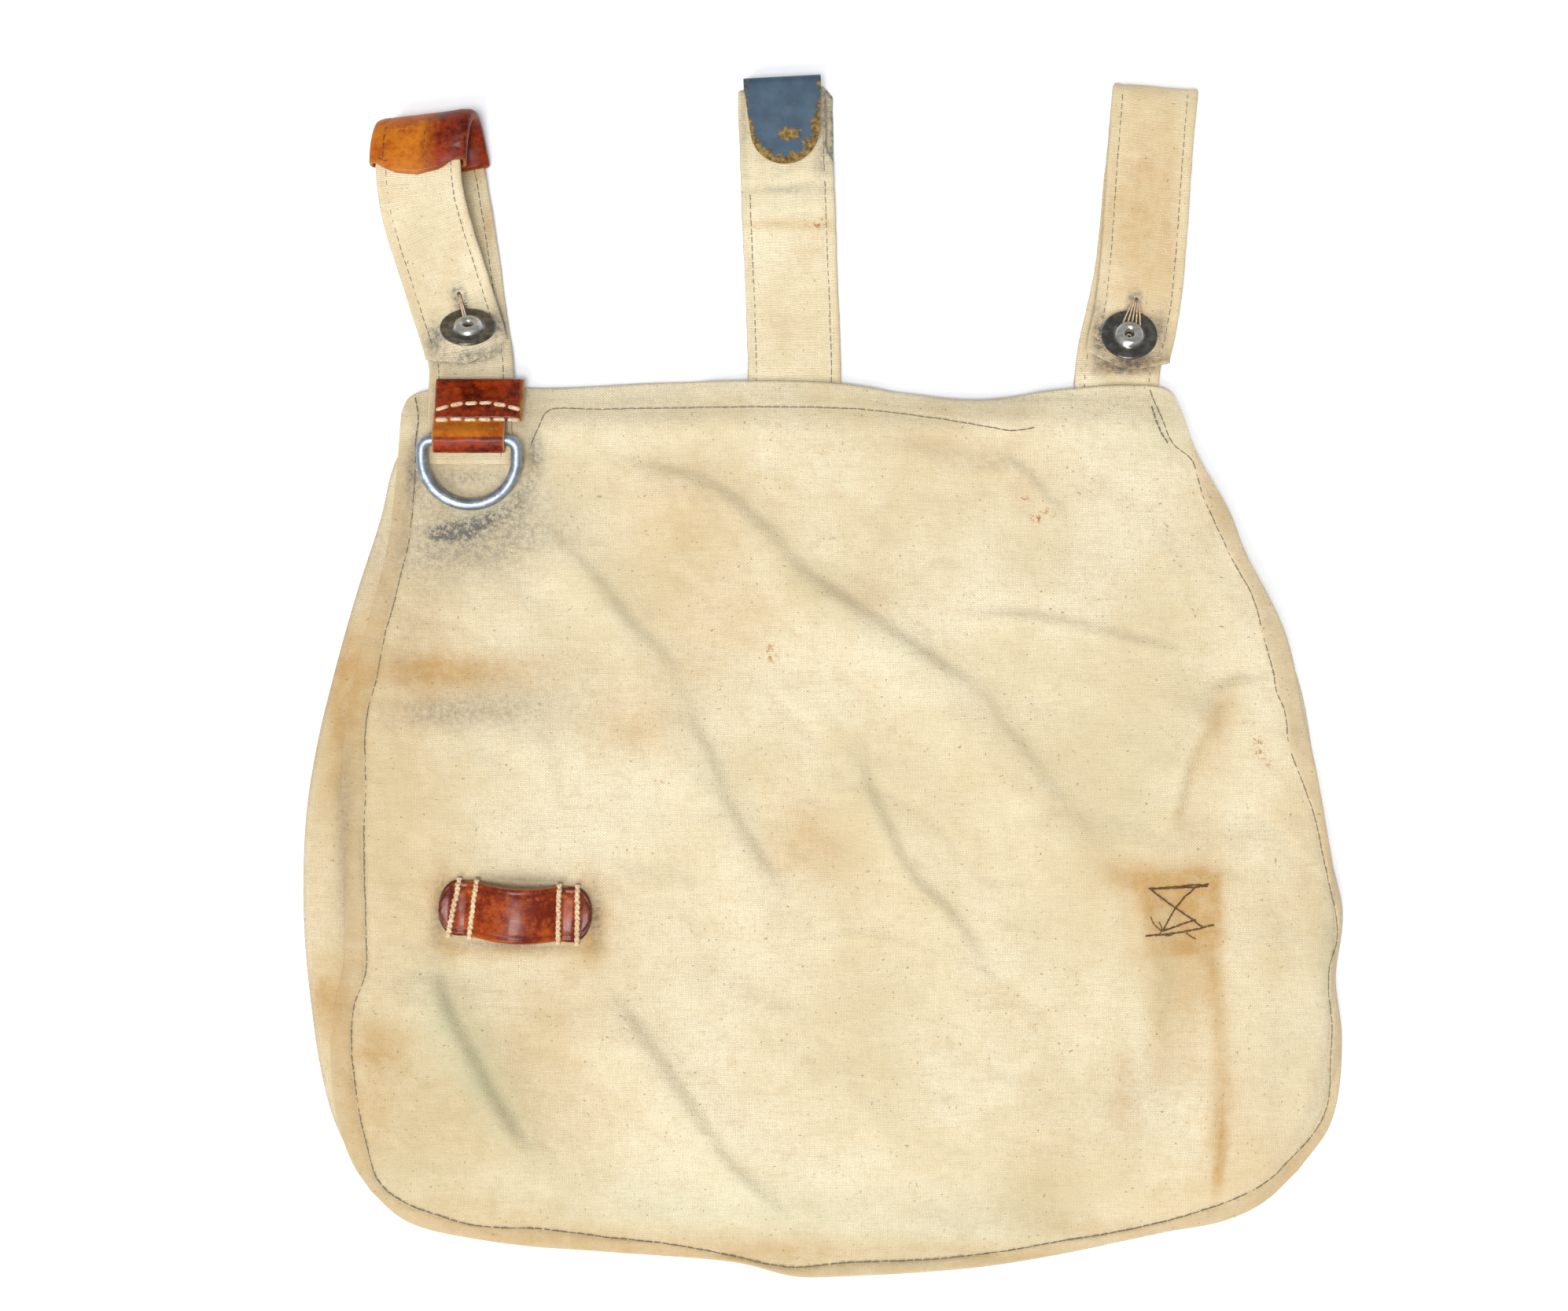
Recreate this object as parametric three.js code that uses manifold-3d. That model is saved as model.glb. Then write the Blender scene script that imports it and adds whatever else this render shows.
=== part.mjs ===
// A canvas haversack lying on its back: a hollow gathered pouch under a full-length front flap,
// two buttoned belt loops and a centre strap with a metal belt hook along its top edge,
// a leather tab with a D-ring, and a leather strap keeper sewn to the flap.
// Millimetres. X runs to the right, Y up towards the belt loops, Z up from the surface it lies on.
import * as THREE from "three";
import Module from "manifold-3d";
import { mergeVertices } from "three/addons/utils/BufferGeometryUtils.js";

const wasm = await Module();
wasm.setup();

// Cloth and clearances
const canvas = 1.2; // one ply of the pouch and flap
const hemPly = 0.9; // what the turned hem adds to the flap
const hemWidth = 5;
const webbing = 1.8; // a belt strap, two plies sewn together
const leather = 1.8;
const gap = 0.35; // between pieces that touch

// Flap
const flapWidth = 320;
const flapLength = 284;
const flapEase = 0.9; // how far the flap lies above the pouch
const flapStiffness = 5; // how far it carries on level past the pouch's edges
const drapeSlope = 0.62; // fall of the flap beyond the pouch, rise over run
const foldRise = 4.2; // height of the tallest fold across the flap

// Pouch
const pouchWidth = 320;
const pouchLength = 268;
const pouchDepth = 12.5;
const mouthDrop = 20; // the front panel's mouth lies this far below the top edge
const frontRoll = 24; // how far in the front panel reaches its full height
const backRoll = 4; // how far in the back panel lies flat
const sideInset = 2; // thickness of the seam round the edge

// Belt loops and centre strap
const loopWidth = 27;
const loopSpacing = 204.5; // between the roots of the two loops
const leftLoopHeight = 82.2;
const leftLoopRise = 18.5; // the open loop's top ply above the surface
const rightLoopHeight = 93.8;
const rightLoopRise = 8.2;
const leftStrapLap = 26.5; // length of the left strap sewn down on the flap
const strapSeat = 0.75; // clearance under the straps sewn inside the top seam
const strapTuck = 4.5; // length of the other straps sewn inside the top seam
const loopPoint = 4.5; // length of the pointed end
const buttonholeLength = 20;
const buttonholeWidth = 3.6;
const centreStrapWidth = 29.8;
const centreStrapHeight = 93.2;
const pocketLength = 34; // length of the ply folded down over the hook's inner leg

// Leather sleeve on the left loop
const sleeveLeather = 1.3;
const sleeveEase = 0.6; // between the sleeve and its strap
const sleeveFront = 17.2; // length of the sleeve down the front ply
const sleeveBack = 17; // length of the sleeve down the back ply

// Belt hook
const hookPlate = 1.2;
const hookWidth = 24.4;
const hookTipWidth = 21.8;
const tongueLength = 27.7;
const hookBend = 2.5; // radius outside its top bends
const innerLeg = 26;
const hookAside = 0.7; // left of the strap's middle
const throat = 4.7; // clear height between the tongue and the strap

// Buttons
const buttonRadius = 8.9;
const leftButtonAside = 2.7; // from the middle of its ply
const rightButtonAside = -1.2;
const buttonBore = 1.3;
const buttonHeight = 2.9;
const shankRadius = 1.4;
const leftButtonTilt = 46; // degrees, facing the loop's top
const rightButtonTilt = 27;

// Leather tab and D-ring
const wireRadius = 1.85;
const ringWidth = 33.5; // outside
const ringReach = 20.6; // from the bar's axis to the middle of the bow's wire
const ringCorner = 3;
const rollClearance = 0.45; // round the bar
const rollWidth = 23;
const tabWidth = 27.6;
const tabLength = 15; // from the top edge to where the roll starts
const plateLength = 13; // of it, the wide plate
const tabOverhang = 0.7; // above the flap's top edge
const tabAside = 3.2; // right of the left strap's middle
const rollAside = 0.4;

// Strap keeper and closing tab
const keeperLength = 48;
const keeperWidth = 19.4;
const keeperArch = 6; // clear height under its middle
const keeperSewn = 11; // length sewn down at each end
const keeperTurn = -3.5; // degrees
const closingTabWidth = 27;
const closingTabLength = 90;
const closingTabThickness = 1.6;

// Flap outline. across is a share of half flapWidth, down a share of flapLength.
const flapTopEdge = [
  { across: -0.777, down: 0.034 },
  { across: -0.762, down: 0.016 },
  { across: -0.66, down: 0.004 },
  { across: -0.48, down: 0.006 },
  { across: -0.25, down: 0 },
  { across: 0.06, down: 0 },
  { across: 0.22, down: 0.012 },
  { across: 0.36, down: 0.02 },
  { across: 0.52, down: 0.009 },
  { across: 0.66, down: 0.003 },
  { across: 0.74, down: 0.009 },
  { across: 0.764, down: 0.032 },
];
const flapLeftEdge = [
  { across: -0.777, down: 0.034 },
  { across: -0.784, down: 0.102 },
  { across: -0.803, down: 0.19 },
  { across: -0.843, down: 0.278 },
  { across: -0.877, down: 0.365 },
  { across: -0.889, down: 0.453 },
  { across: -0.885, down: 0.64 },
  { across: -0.906, down: 0.7 },
  { across: -0.912, down: 0.75 },
  { across: -0.9, down: 0.82 },
  { across: -0.872, down: 0.868 },
  { across: -0.836, down: 0.9 },
];
const flapRightEdge = [
  { across: 0.764, down: 0.032 },
  { across: 0.795, down: 0.08 },
  { across: 0.86, down: 0.146 },
  { across: 0.889, down: 0.19 },
  { across: 0.966, down: 0.278 },
  { across: 1, down: 0.365 },
  { across: 1.034, down: 0.453 },
  { across: 1.06, down: 0.53 },
  { across: 1.086, down: 0.595 },
  { across: 1.069, down: 0.662 },
  { across: 1.087, down: 0.738 },
  { across: 1.066, down: 0.826 },
  { across: 1, down: 0.88 },
];
const flapBottomEdge = [
  { across: -0.836, down: 0.9 },
  { across: -0.767, down: 0.936 },
  { across: -0.622, down: 0.957 },
  { across: -0.344, down: 0.972 },
  { across: -0.11, down: 0.984 },
  { across: 0.0, down: 0.999 },
  { across: 0.1, down: 0.999 },
  { across: 0.36, down: 0.989 },
  { across: 0.547, down: 0.972 },
  { across: 0.734, down: 0.949 },
  { across: 0.85, down: 0.937 },
  { across: 0.93, down: 0.916 },
  { across: 1, down: 0.88 },
];

// Pouch outline. left and right are shares of half pouchWidth, down a share of pouchLength.
const pouchSections = [
  { down: 0, left: -0.752, right: 0.742 },
  { down: 0.06, left: -0.766, right: 0.76 },
  { down: 0.105, left: -0.797, right: 0.8 },
  { down: 0.16, left: -0.818, right: 0.84 },
  { down: 0.25, left: -0.866, right: 0.915 },
  { down: 0.34, left: -0.908, right: 0.99 },
  { down: 0.43, left: -0.944, right: 1.022 },
  { down: 0.52, left: -0.966, right: 1.03 },
  { down: 0.64, left: -0.969, right: 1.032 },
  { down: 0.76, left: -0.95, right: 1.024 },
  { down: 0.83, left: -0.93, right: 1.0 },
  { down: 0.88, left: -0.905, right: 0.965 },
  { down: 0.925, left: -0.862, right: 0.91 },
  { down: 0.96, left: -0.79, right: 0.82 },
  { down: 0.985, left: -0.66, right: 0.69 },
  { down: 1, left: -0.5, right: 0.54 },
];
// Height of the pouch, as shares of pouchDepth.
const pouchFullness = [
  { down: 0, height: 0.7 },
  { down: 0.08, height: 0.74 },
  { down: 0.2, height: 0.86 },
  { down: 0.4, height: 0.98 },
  { down: 0.62, height: 1 },
  { down: 0.82, height: 0.84 },
  { down: 0.94, height: 0.56 },
  { down: 1, height: 0.36 },
];
// Folds across the flap: ridge lines between two points, with half width as a share of half flapWidth
// and height as a share of foldRise.
const flapFolds = [
  { across: -0.47, down: 0.14, toAcross: -0.24, toDown: 0.34, spread: 0.07, height: 0.55 },
  { across: -0.26, down: 0.33, toAcross: -0.03, toDown: 0.61, spread: 0.075, height: 0.7 },
  { across: -0.3, down: 0.08, toAcross: 0.16, toDown: 0.27, spread: 0.1, height: 0.6 },
  { across: 0.14, down: 0.24, toAcross: 0.62, toDown: 0.55, spread: 0.09, height: 0.75 },
  { across: -0.36, down: 0.7, toAcross: 0.0, toDown: 0.92, spread: 0.08, height: 0.85 },
  { across: -0.66, down: 0.66, toAcross: -0.46, toDown: 0.88, spread: 0.09, height: 1 },
  { across: 0.13, down: 0.42, toAcross: 0.38, toDown: 0.69, spread: 0.07, height: 0.6 },
  { across: 0.84, down: 0.35, toAcross: 0.7, toDown: 0.53, spread: 0.08, height: 0.8 },
  { across: 0.97, down: 0.6, toAcross: 0.8, toDown: 0.8, spread: 0.1, height: 0.6 },
];

// Straps. across and up are shares of the strap's height above the top edge, lift is a share of its rise,
// and lean turns the strap's width, in degrees.
const leftLoopPath = [
  { across: 0, up: 0.06, lift: 0.2, lean: 1 },
  { across: -0.018, up: 0.17, lift: 0.085, lean: 5 },
  { across: -0.047, up: 0.393, lift: 0.085, lean: 8 },
  { across: -0.076, up: 0.598, lift: 0.12, lean: 8.5 },
  { across: -0.109, up: 0.789, lift: 0.165, lean: 9 },
  { across: -0.129, up: 0.89, lift: 0.22, lean: 9.5 },
  { across: -0.142, up: 0.965, lift: 0.37, lean: 11 },
  { across: -0.156, up: 0.99, lift: 0.6, lean: 12 },
  { across: -0.172, up: 0.965, lift: 0.84, lean: 12 },
  { across: -0.187, up: 0.89, lift: 0.97, lean: 11 },
  { across: -0.188, up: 0.77, lift: 0.98, lean: 10 },
  { across: -0.17, up: 0.645, lift: 0.86, lean: 11 },
  { across: -0.131, up: 0.505, lift: 0.68, lean: 15 },
  { across: -0.096, up: 0.395, lift: 0.52, lean: 18 },
  { across: -0.064, up: 0.282, lift: 0.4, lean: 19 },
  { across: -0.033, up: 0.188, lift: 0.34, lean: 19 },
  { across: -0.017, up: 0.125, lift: 0.32, lean: 17 },
];
const rightLoopPath = [
  { across: 0.005, up: 0.06, lift: 0.38, lean: -3 },
  { across: 0.022, up: 0.15, lift: 0.16, lean: -6 },
  { across: 0.068, up: 0.353, lift: 0.125, lean: -7 },
  { across: 0.092, up: 0.589, lift: 0.13, lean: -7 },
  { across: 0.113, up: 0.8, lift: 0.135, lean: -6 },
  { across: 0.126, up: 0.93, lift: 0.18, lean: -5 },
  { across: 0.131, up: 0.975, lift: 0.36, lean: -5 },
  { across: 0.13, up: 0.99, lift: 0.56, lean: -5 },
  { across: 0.127, up: 0.975, lift: 0.77, lean: -5 },
  { across: 0.121, up: 0.93, lift: 0.95, lean: -5 },
  { across: 0.104, up: 0.72, lift: 1, lean: -5 },
  { across: 0.09, up: 0.5, lift: 0.97, lean: -5 },
  { across: 0.075, up: 0.32, lift: 0.94, lean: -7 },
  { across: 0.058, up: 0.2, lift: 0.76, lean: -6 },
  { across: 0.042, up: 0.13, lift: 0.68, lean: -3 },
  { across: 0.034, up: 0.085, lift: 0.8, lean: 0 },
];
// Where each button sits on its loop, up as a share of the loop's height, along its front ply.
const leftButtonUp = 0.185;
const rightButtonUp = 0.158;

// Colours, as seen in daylight
const canvasCloth = new THREE.MeshStandardMaterial({ color: 0xe0d2ab, roughness: 0.95, metalness: 0 });
const strapWebbing = new THREE.MeshStandardMaterial({ color: 0xdccba4, roughness: 0.92, metalness: 0 });
const tanLeather = new THREE.MeshStandardMaterial({ color: 0x9a4a1c, roughness: 0.5, metalness: 0 });
const paintedSteel = new THREE.MeshStandardMaterial({ color: 0x667488, roughness: 0.5, metalness: 0.3 });
const aluminium = new THREE.MeshStandardMaterial({ color: 0xb4bac2, roughness: 0.35, metalness: 0.9 });
const darkTin = new THREE.MeshStandardMaterial({ color: 0x55524e, roughness: 0.4, metalness: 0.85 });
const linenThread = new THREE.MeshStandardMaterial({ color: 0xcdbfa0, roughness: 0.9, metalness: 0 });

const radians = THREE.MathUtils.degToRad;
const smooth = (t) => THREE.MathUtils.smoothstep(t, 0, 1);

// A table's column as a smooth function of its first column.
function column(rows, key, name) {
  return (at) => {
    const last = rows.length - 1;
    const t = THREE.MathUtils.clamp(at, rows[0][key], rows[last][key]);
    let i = rows.findIndex((row, n) => n < last && t <= rows[n + 1][key]);
    i = Math.max(0, i);
    const [p0, p1, p2, p3] = [Math.max(0, i - 1), i, i + 1, Math.min(last, i + 2)].map((n) => rows[n]);
    const span = p2[key] - p1[key];
    const slope = (a, b) => (b[key] === a[key] ? 0 : ((b[name] - a[name]) / (b[key] - a[key])) * span);
    const f = (t - p1[key]) / span;
    const m1 = slope(p0, p2);
    const m2 = slope(p1, p3);
    const d = p1[name] - p2[name];
    return ((2 * d + m1 + m2) * f - (3 * d + 2 * m1 + m2)) * f * f + m1 * f + p1[name];
  };
}

// Closed meshes from rows of points
class Shell {
  points = [];
  faces = [];
  add(p) {
    return this.points.push(p) - 1;
  }
  quad(a, b, c, d) {
    this.faces.push(a, b, c, a, c, d);
  }
  // Joins two rows of equal length, closing each round on itself if asked.
  band(rowA, rowB, round) {
    const n = rowA.length;
    for (let i = 0; i < (round ? n : n - 1); i++) {
      const j = (i + 1) % n;
      this.quad(rowA[i], rowA[j], rowB[j], rowB[i]);
    }
  }
  geometry() {
    const flat = this.points.flatMap((p) => [p.x, p.y, p.z]);
    let volume = 0;
    for (let i = 0; i < this.faces.length; i += 3) {
      const [a, b, c] = [0, 1, 2].map((k) => this.points[this.faces[i + k]]);
      volume += a.dot(new THREE.Vector3().crossVectors(b, c));
    }
    const order = volume < 0 ? [...this.faces].reverse() : this.faces;
    const made = new THREE.BufferGeometry();
    made.setAttribute("position", new THREE.Float32BufferAttribute(flat, 3));
    made.setIndex(order);
    made.computeVertexNormals();
    return made;
  }
}

function solidFrom(geometry) {
  const bare = geometry.clone();
  bare.deleteAttribute("normal");
  bare.deleteAttribute("uv");
  const merged = mergeVertices(bare, 1e-3);
  return new wasm.Manifold(
    new wasm.Mesh({
      numProp: 3,
      vertProperties: merged.attributes.position.array,
      triVerts: new Uint32Array(merged.index.array),
    }),
  );
}

function geometryFrom(solid) {
  const mesh = solid.getMesh();
  const flat = [];
  for (let i = 0; i < mesh.numVert; i++) {
    flat.push(...mesh.vertProperties.subarray(i * mesh.numProp, i * mesh.numProp + 3));
  }
  const made = new THREE.BufferGeometry();
  made.setAttribute("position", new THREE.Float32BufferAttribute(flat, 3));
  made.setIndex(Array.from(mesh.triVerts));
  made.computeVertexNormals();
  return made;
}

// A layer of cloth or leather over a grid of plan points, between two heights at each of them.
function layer(grid, heights) {
  const shell = new Shell();
  const lower = [];
  const upper = [];
  grid.forEach((row, r) => {
    const ends = row.map((p, c) => heights(p.x, p.y, r, c));
    lower.push(row.map((p, c) => shell.add(new THREE.Vector3(p.x, p.y, ends[c][0]))));
    upper.push(row.map((p, c) => shell.add(new THREE.Vector3(p.x, p.y, ends[c][1]))));
  });
  for (let r = 0; r + 1 < grid.length; r++) {
    shell.band(upper[r], upper[r + 1], false);
    shell.band(lower[r + 1], lower[r], false);
  }
  const rim = (level) => [
    ...level[0],
    ...level.slice(1, -1).map((row) => row.at(-1)),
    ...level.at(-1).toReversed(),
    ...level.slice(1, -1).map((row) => row[0]).toReversed(),
  ];
  shell.band(rim(lower), rim(upper), true);
  return shell.geometry();
}

// The pouch's plan
const halfPouch = pouchWidth / 2;
const leftShare = column(pouchSections, "down", "left");
const rightShare = column(pouchSections, "down", "right");
const heightShare = column(pouchFullness, "down", "height");
const pouchLeft = (y) => leftShare(-y / pouchLength) * halfPouch;
const pouchRight = (y) => rightShare(-y / pouchLength) * halfPouch;
const frontDown = (y) => Math.max(0, (-y - mouthDrop) / (pouchLength - mouthDrop));
const fullHeight = (y) => heightShare(frontDown(y)) * pouchDepth;

// Distance in from the pouch's side and bottom seam, negative beyond it.
const outlineSteps = 60;
const seamLine = [];
for (let i = 0; i <= outlineSteps; i++) {
  const y = (-i / outlineSteps) * pouchLength;
  seamLine.push([pouchLeft(y), y]);
}
for (let i = outlineSteps; i >= 0; i--) {
  const y = (-i / outlineSteps) * pouchLength;
  seamLine.push([pouchRight(y), y]);
}
const beyondTop = 4 * frontRoll;
seamLine.unshift([pouchLeft(0), beyondTop]);
seamLine.push([pouchRight(0), beyondTop]);
function insidePouch(x, y) {
  let nearest = Infinity;
  let inside = false;
  for (let i = 0; i < seamLine.length; i++) {
    const [ax, ay] = seamLine[i];
    const [bx, by] = seamLine[(i + 1) % seamLine.length];
    const t = THREE.MathUtils.clamp(
      ((x - ax) * (bx - ax) + (y - ay) * (by - ay)) / ((bx - ax) ** 2 + (by - ay) ** 2 || 1), 0, 1);
    if (i < seamLine.length - 1) nearest = Math.min(nearest, Math.hypot(x - ax - t * (bx - ax), y - ay - t * (by - ay)));
    if (ay > y !== by > y && x < ax + ((y - ay) / (by - ay)) * (bx - ax)) inside = !inside;
  }
  return inside ? nearest : -nearest;
}
const roll = (inward, width) => Math.sqrt(Math.max(0, 1 - (1 - THREE.MathUtils.clamp(inward / width, 0, 1)) ** 2));
const pouchFront = (x, y) => (fullHeight(y) / 2) * (1 + roll(insidePouch(x, y), frontRoll));
const pouchBack = (x, y) => (fullHeight(y) / 2) * (1 - roll(insidePouch(x, y), backRoll));

// The pouch: a hollow shell, open along the top under the flap, flat on its back.
const flapTopShare = column(flapTopEdge, "across", "down");
const topInset = (x) => flapTopShare(x / (flapWidth / 2)) * flapLength + 0.9;
function pouchGeometry() {
  const across = 18;
  const downSteps = 20;
  const shell = new Shell();
  const ring = (v, wallIn) => {
    const points = [];
    const place = (s, front) => {
      const turn = 0.5 * Math.min(1, (1 - Math.abs(s)) / 0.12);
      const opening = mouthDrop * (front ? 0.5 + turn : 0.5 - turn);
      const drop = Math.max(opening, topInset(pouchLeft(0) + (pouchRight(0) - pouchLeft(0)) * (s + 1) / 2));
      const length = pouchLength - (wallIn ? sideInset * 1.5 : 0.6);
      const y = -(drop + v * (length - drop));
      const inset = wallIn ? sideInset : 0;
      const left = pouchLeft(y) + inset;
      const right = pouchRight(y) - inset;
      const x = THREE.MathUtils.lerp(left, right, (s + 1) / 2);
      const middle = fullHeight(y) / 2;
      let z = Math.abs(s) === 1 && !wallIn ? middle : front ? pouchFront(x, y) : pouchBack(x, y);
      if (wallIn) z = front ? Math.max(z - canvas, middle + 0.2) : Math.min(z + canvas, middle - 0.2);
      points.push(shell.add(new THREE.Vector3(x, y, z)));
    };
    const spread = (i) => -Math.cos((i / across) * Math.PI) * 0.35 + (i / across - 0.5) * 2 * 0.65;
    for (let i = 0; i <= across; i++) place(spread(i), true);
    for (let i = across - (wallIn ? 0 : 1); i >= (wallIn ? 0 : 1); i--) place(spread(i), false);
    // The outer ring's ends are shared by front and back, so it repeats them to match the inner ring.
    if (!wallIn) {
      points.splice(across + 1, 0, points[across]);
      points.push(points[0]);
    }
    return points;
  };
  const rows = Array.from({ length: downSteps + 1 }, (_, r) => r / downSteps);
  const outer = rows.map((v) => ring(v, false));
  const inner = rows.map((v) => ring(v, true));
  for (let r = 0; r < downSteps; r++) {
    shell.band(outer[r], outer[r + 1], true);
    shell.band(inner[r + 1], inner[r], true);
  }
  shell.band(inner[0], outer[0], true);
  const cap = (points) => {
    const half = points.length / 2;
    for (let i = 0; i + 1 < half; i++) {
      shell.quad(points[i], points[i + 1], points[points.length - 2 - i], points[points.length - 1 - i]);
    }
  };
  cap(outer.at(-1));
  cap(inner.at(-1).toReversed());
  shell.faces = shell.faces.filter((_, i, all) => {
    const t = i - (i % 3);
    return all[t] !== all[t + 1] && all[t + 1] !== all[t + 2] && all[t] !== all[t + 2];
  });
  return shell.geometry();
}

// Where the straps and the closing tab lie under the flap, which rises over them.
const leftRoot = -loopSpacing / 2;
const rightRoot = loopSpacing / 2;
const halfFlap = flapWidth / 2;
const closingTabX = 0.77 * halfFlap;
const closingTabTop = -0.55 * flapLength;
const rise = (distance, run) => 1 - smooth(distance / run);
const beyond = (x, middle, width) => Math.max(0, Math.abs(x - middle) - width / 2);
function strapLift(x) {
  const run = 9;
  const reach = 2 * run;
  const centre = rise(beyond(x, 0, centreStrapWidth + reach), run);
  const right = rise(beyond(x, rightRoot, loopWidth + reach), run);
  return Math.max(centre, right) * (webbing + strapSeat);
}
function closingTabLift(x, y) {
  const run = 14;
  const reach = 16;
  const sideways = rise(beyond(x, closingTabX, closingTabWidth + reach), run);
  const along = rise(beyond(y, closingTabTop - closingTabLength / 2, closingTabLength + reach), run);
  return sideways * along * (closingTabThickness + gap);
}

// Ridges of the folds, raised on the flap alone.
function foldHeight(x, y) {
  let sum = 0;
  for (const fold of flapFolds) {
    const [ax, ay] = [fold.across * halfFlap, -fold.down * flapLength];
    const [bx, by] = [fold.toAcross * halfFlap, -fold.toDown * flapLength];
    const long = (bx - ax) ** 2 + (by - ay) ** 2;
    const t = ((x - ax) * (bx - ax) + (y - ay) * (by - ay)) / long;
    const along = smooth(t * 3.5 + 0.5) * smooth((1 - t) * 3.5 + 0.5);
    const off = Math.hypot(x - ax - t * (bx - ax), y - ay - t * (by - ay)) / (fold.spread * halfFlap);
    sum += fold.height * foldRise * along * Math.exp(-off * off * 1.6);
  }
  return sum;
}

// The flap's underside: over the mouth, over the pouch, then down towards the surface beyond it.
function flapUnder(x, y) {
  const inward = insidePouch(x, y) + flapStiffness;
  const cover = (fullHeight(y + flapStiffness) / 2) * (1 + roll(inward, frontRoll)) + flapEase;
  const outside = Math.max(0, -inward);
  const draped = Math.max(gap, cover - outside * drapeSlope - fullHeight(y) * 0.5 * smooth(outside / 12));
  const edge = canvas + gap + strapLift(x);
  const overMouth = THREE.MathUtils.lerp(edge, Math.max(edge, draped), smooth(-y / (mouthDrop * 0.8)));
  const body = y > -mouthDrop * 0.8 ? overMouth : draped;
  const fade = smooth((-y - mouthDrop) / 20) * smooth((inward + 6) / 16);
  return body + closingTabLift(x, y) + foldHeight(x, y) * fade;
}
const flapTop = (x, y) => flapUnder(x, y) + canvas;

// The flap's plan grid, blended between its four edges.
function edgeCurve(rows) {
  const points = rows.map((row) => new THREE.Vector3(row.across * halfFlap, -row.down * flapLength, 0));
  return new THREE.CatmullRomCurve3(points, false, "centripetal");
}
function flapGeometry() {
  const [top, bottom] = [edgeCurve(flapTopEdge), edgeCurve(flapBottomEdge)];
  const [left, right] = [edgeCurve(flapLeftEdge), edgeCurve(flapRightEdge)];
  const hemStep = 0.5;
  const stops = (count, size) => {
    const inner = Array.from({ length: count + 1 }, (_, i) => {
      return THREE.MathUtils.lerp((hemWidth + hemStep) / size, 1 - (hemWidth + hemStep) / size, i / count);
    });
    return [0, (hemWidth - hemStep) / size, ...inner, 1 - (hemWidth - hemStep) / size, 1];
  };
  const us = stops(28, flapWidth * 0.86);
  const vs = stops(24, flapLength * 0.96);
  const corners = [top.getPoint(0), top.getPoint(1), bottom.getPoint(0), bottom.getPoint(1)];
  const grid = vs.map((v) =>
    us.map((u) => {
      const [t, b] = [top.getPointAt(u), bottom.getPointAt(u)];
      const [l, r] = [left.getPointAt(v), right.getPointAt(v)];
      const along = t.clone().lerp(b, v).add(l.clone().lerp(r, u));
      const blend = corners[0].clone().lerp(corners[1], u).lerp(corners[2].clone().lerp(corners[3], u), v);
      return along.sub(blend);
    }),
  );
  const hemRow = (i, list) => i < 2 || i > list.length - 3;
  return layer(grid, (x, y, r, c) => {
    const under = flapUnder(x, y);
    return [under, under + canvas + (hemRow(r, vs) || hemRow(c, us) ? hemPly : 0)];
  });
}

// A strap along a path of rows, as frames with a point, a width direction and an inward normal.
function strapFrames(rows, height, liftHeight, root, lead, steps, softness) {
  const bodyRows = rows.map((row) => ({
    point: new THREE.Vector3(root + row.across * height, row.up * height, row.lift * liftHeight),
    lean: row.lean,
  }));
  const all = [...lead, ...bodyRows];
  const curve = new THREE.CatmullRomCurve3(all.map((row) => row.point), false, "centripetal");
  const soften = (list, passes) => {
    if (passes === 0) return list;
    return soften(list.map((p, i) => (i === 0 || i === steps ? p
      : p.clone().multiplyScalar(2).add(list[i - 1]).add(list[i + 1]).multiplyScalar(0.25))), passes - 1);
  };
  const points = soften(Array.from({ length: steps + 1 }, (_, i) => curve.getPoint(i / steps)), softness);
  const alongs = points.map((_, i) => {
    return points[Math.min(steps, i + 1)].clone().sub(points[Math.max(0, i - 1)]).normalize();
  });
  const square = (across, i) => across.clone().addScaledVector(alongs[i], -across.dot(alongs[i])).normalize();
  const leans = points.map((_, i) => {
    const place = (i / steps) * (all.length - 1);
    const k = Math.min(all.length - 2, Math.floor(place));
    const lean = radians(THREE.MathUtils.lerp(all[k].lean, all[k + 1].lean, place - k));
    return square(new THREE.Vector3(Math.cos(lean), Math.sin(lean), 0), i);
  });
  return soften(leans, 3 * softness).map((wide, i) => {
    const across = square(wide, i);
    return { point: points[i], along: alongs[i], across, inward: across.clone().cross(alongs[i]) };
  });
}

// A strap of a width and thickness along its frames, with a pointed far end if asked.
function strapSolid(frames, width, thickness, point = 0) {
  const columns = 2;
  const shell = new Shell();
  const rings = frames.map((frame, n) => {
    const side = (facing) =>
      Array.from({ length: columns + 1 }, (_, c) => {
        const share = (c / columns) * 2 - 1;
        const reach = n === frames.length - 1 ? point * (1 - Math.abs(share)) : 0;
        return frame.point.clone()
          .addScaledVector(frame.across, (share * width) / 2)
          .addScaledVector(frame.inward, (facing * thickness) / 2)
          .addScaledVector(frame.along, reach);
      });
    return [...side(1), ...side(-1).reverse()].map((p) => shell.add(p));
  });
  for (let i = 0; i + 1 < rings.length; i++) shell.band(rings[i], rings[i + 1], true);
  for (const ring of [rings[0].toReversed(), rings.at(-1)]) {
    for (let c = 0; c < columns; c++) {
      shell.quad(ring[c], ring[c + 1], ring[ring.length - 2 - c], ring[ring.length - 1 - c]);
    }
  }
  return solidFrom(shell.geometry());
}

// The frame on a strap's front ply nearest to a height above the top edge.
function frontFrame(frames, y, aside) {
  const front = frames.slice(Math.floor(frames.length * 0.55));
  const frame = front.reduce((a, b) => (Math.abs(b.point.y - y) < Math.abs(a.point.y - y) ? b : a));
  return { ...frame, point: frame.point.clone().addScaledVector(frame.across, aside) };
}

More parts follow.
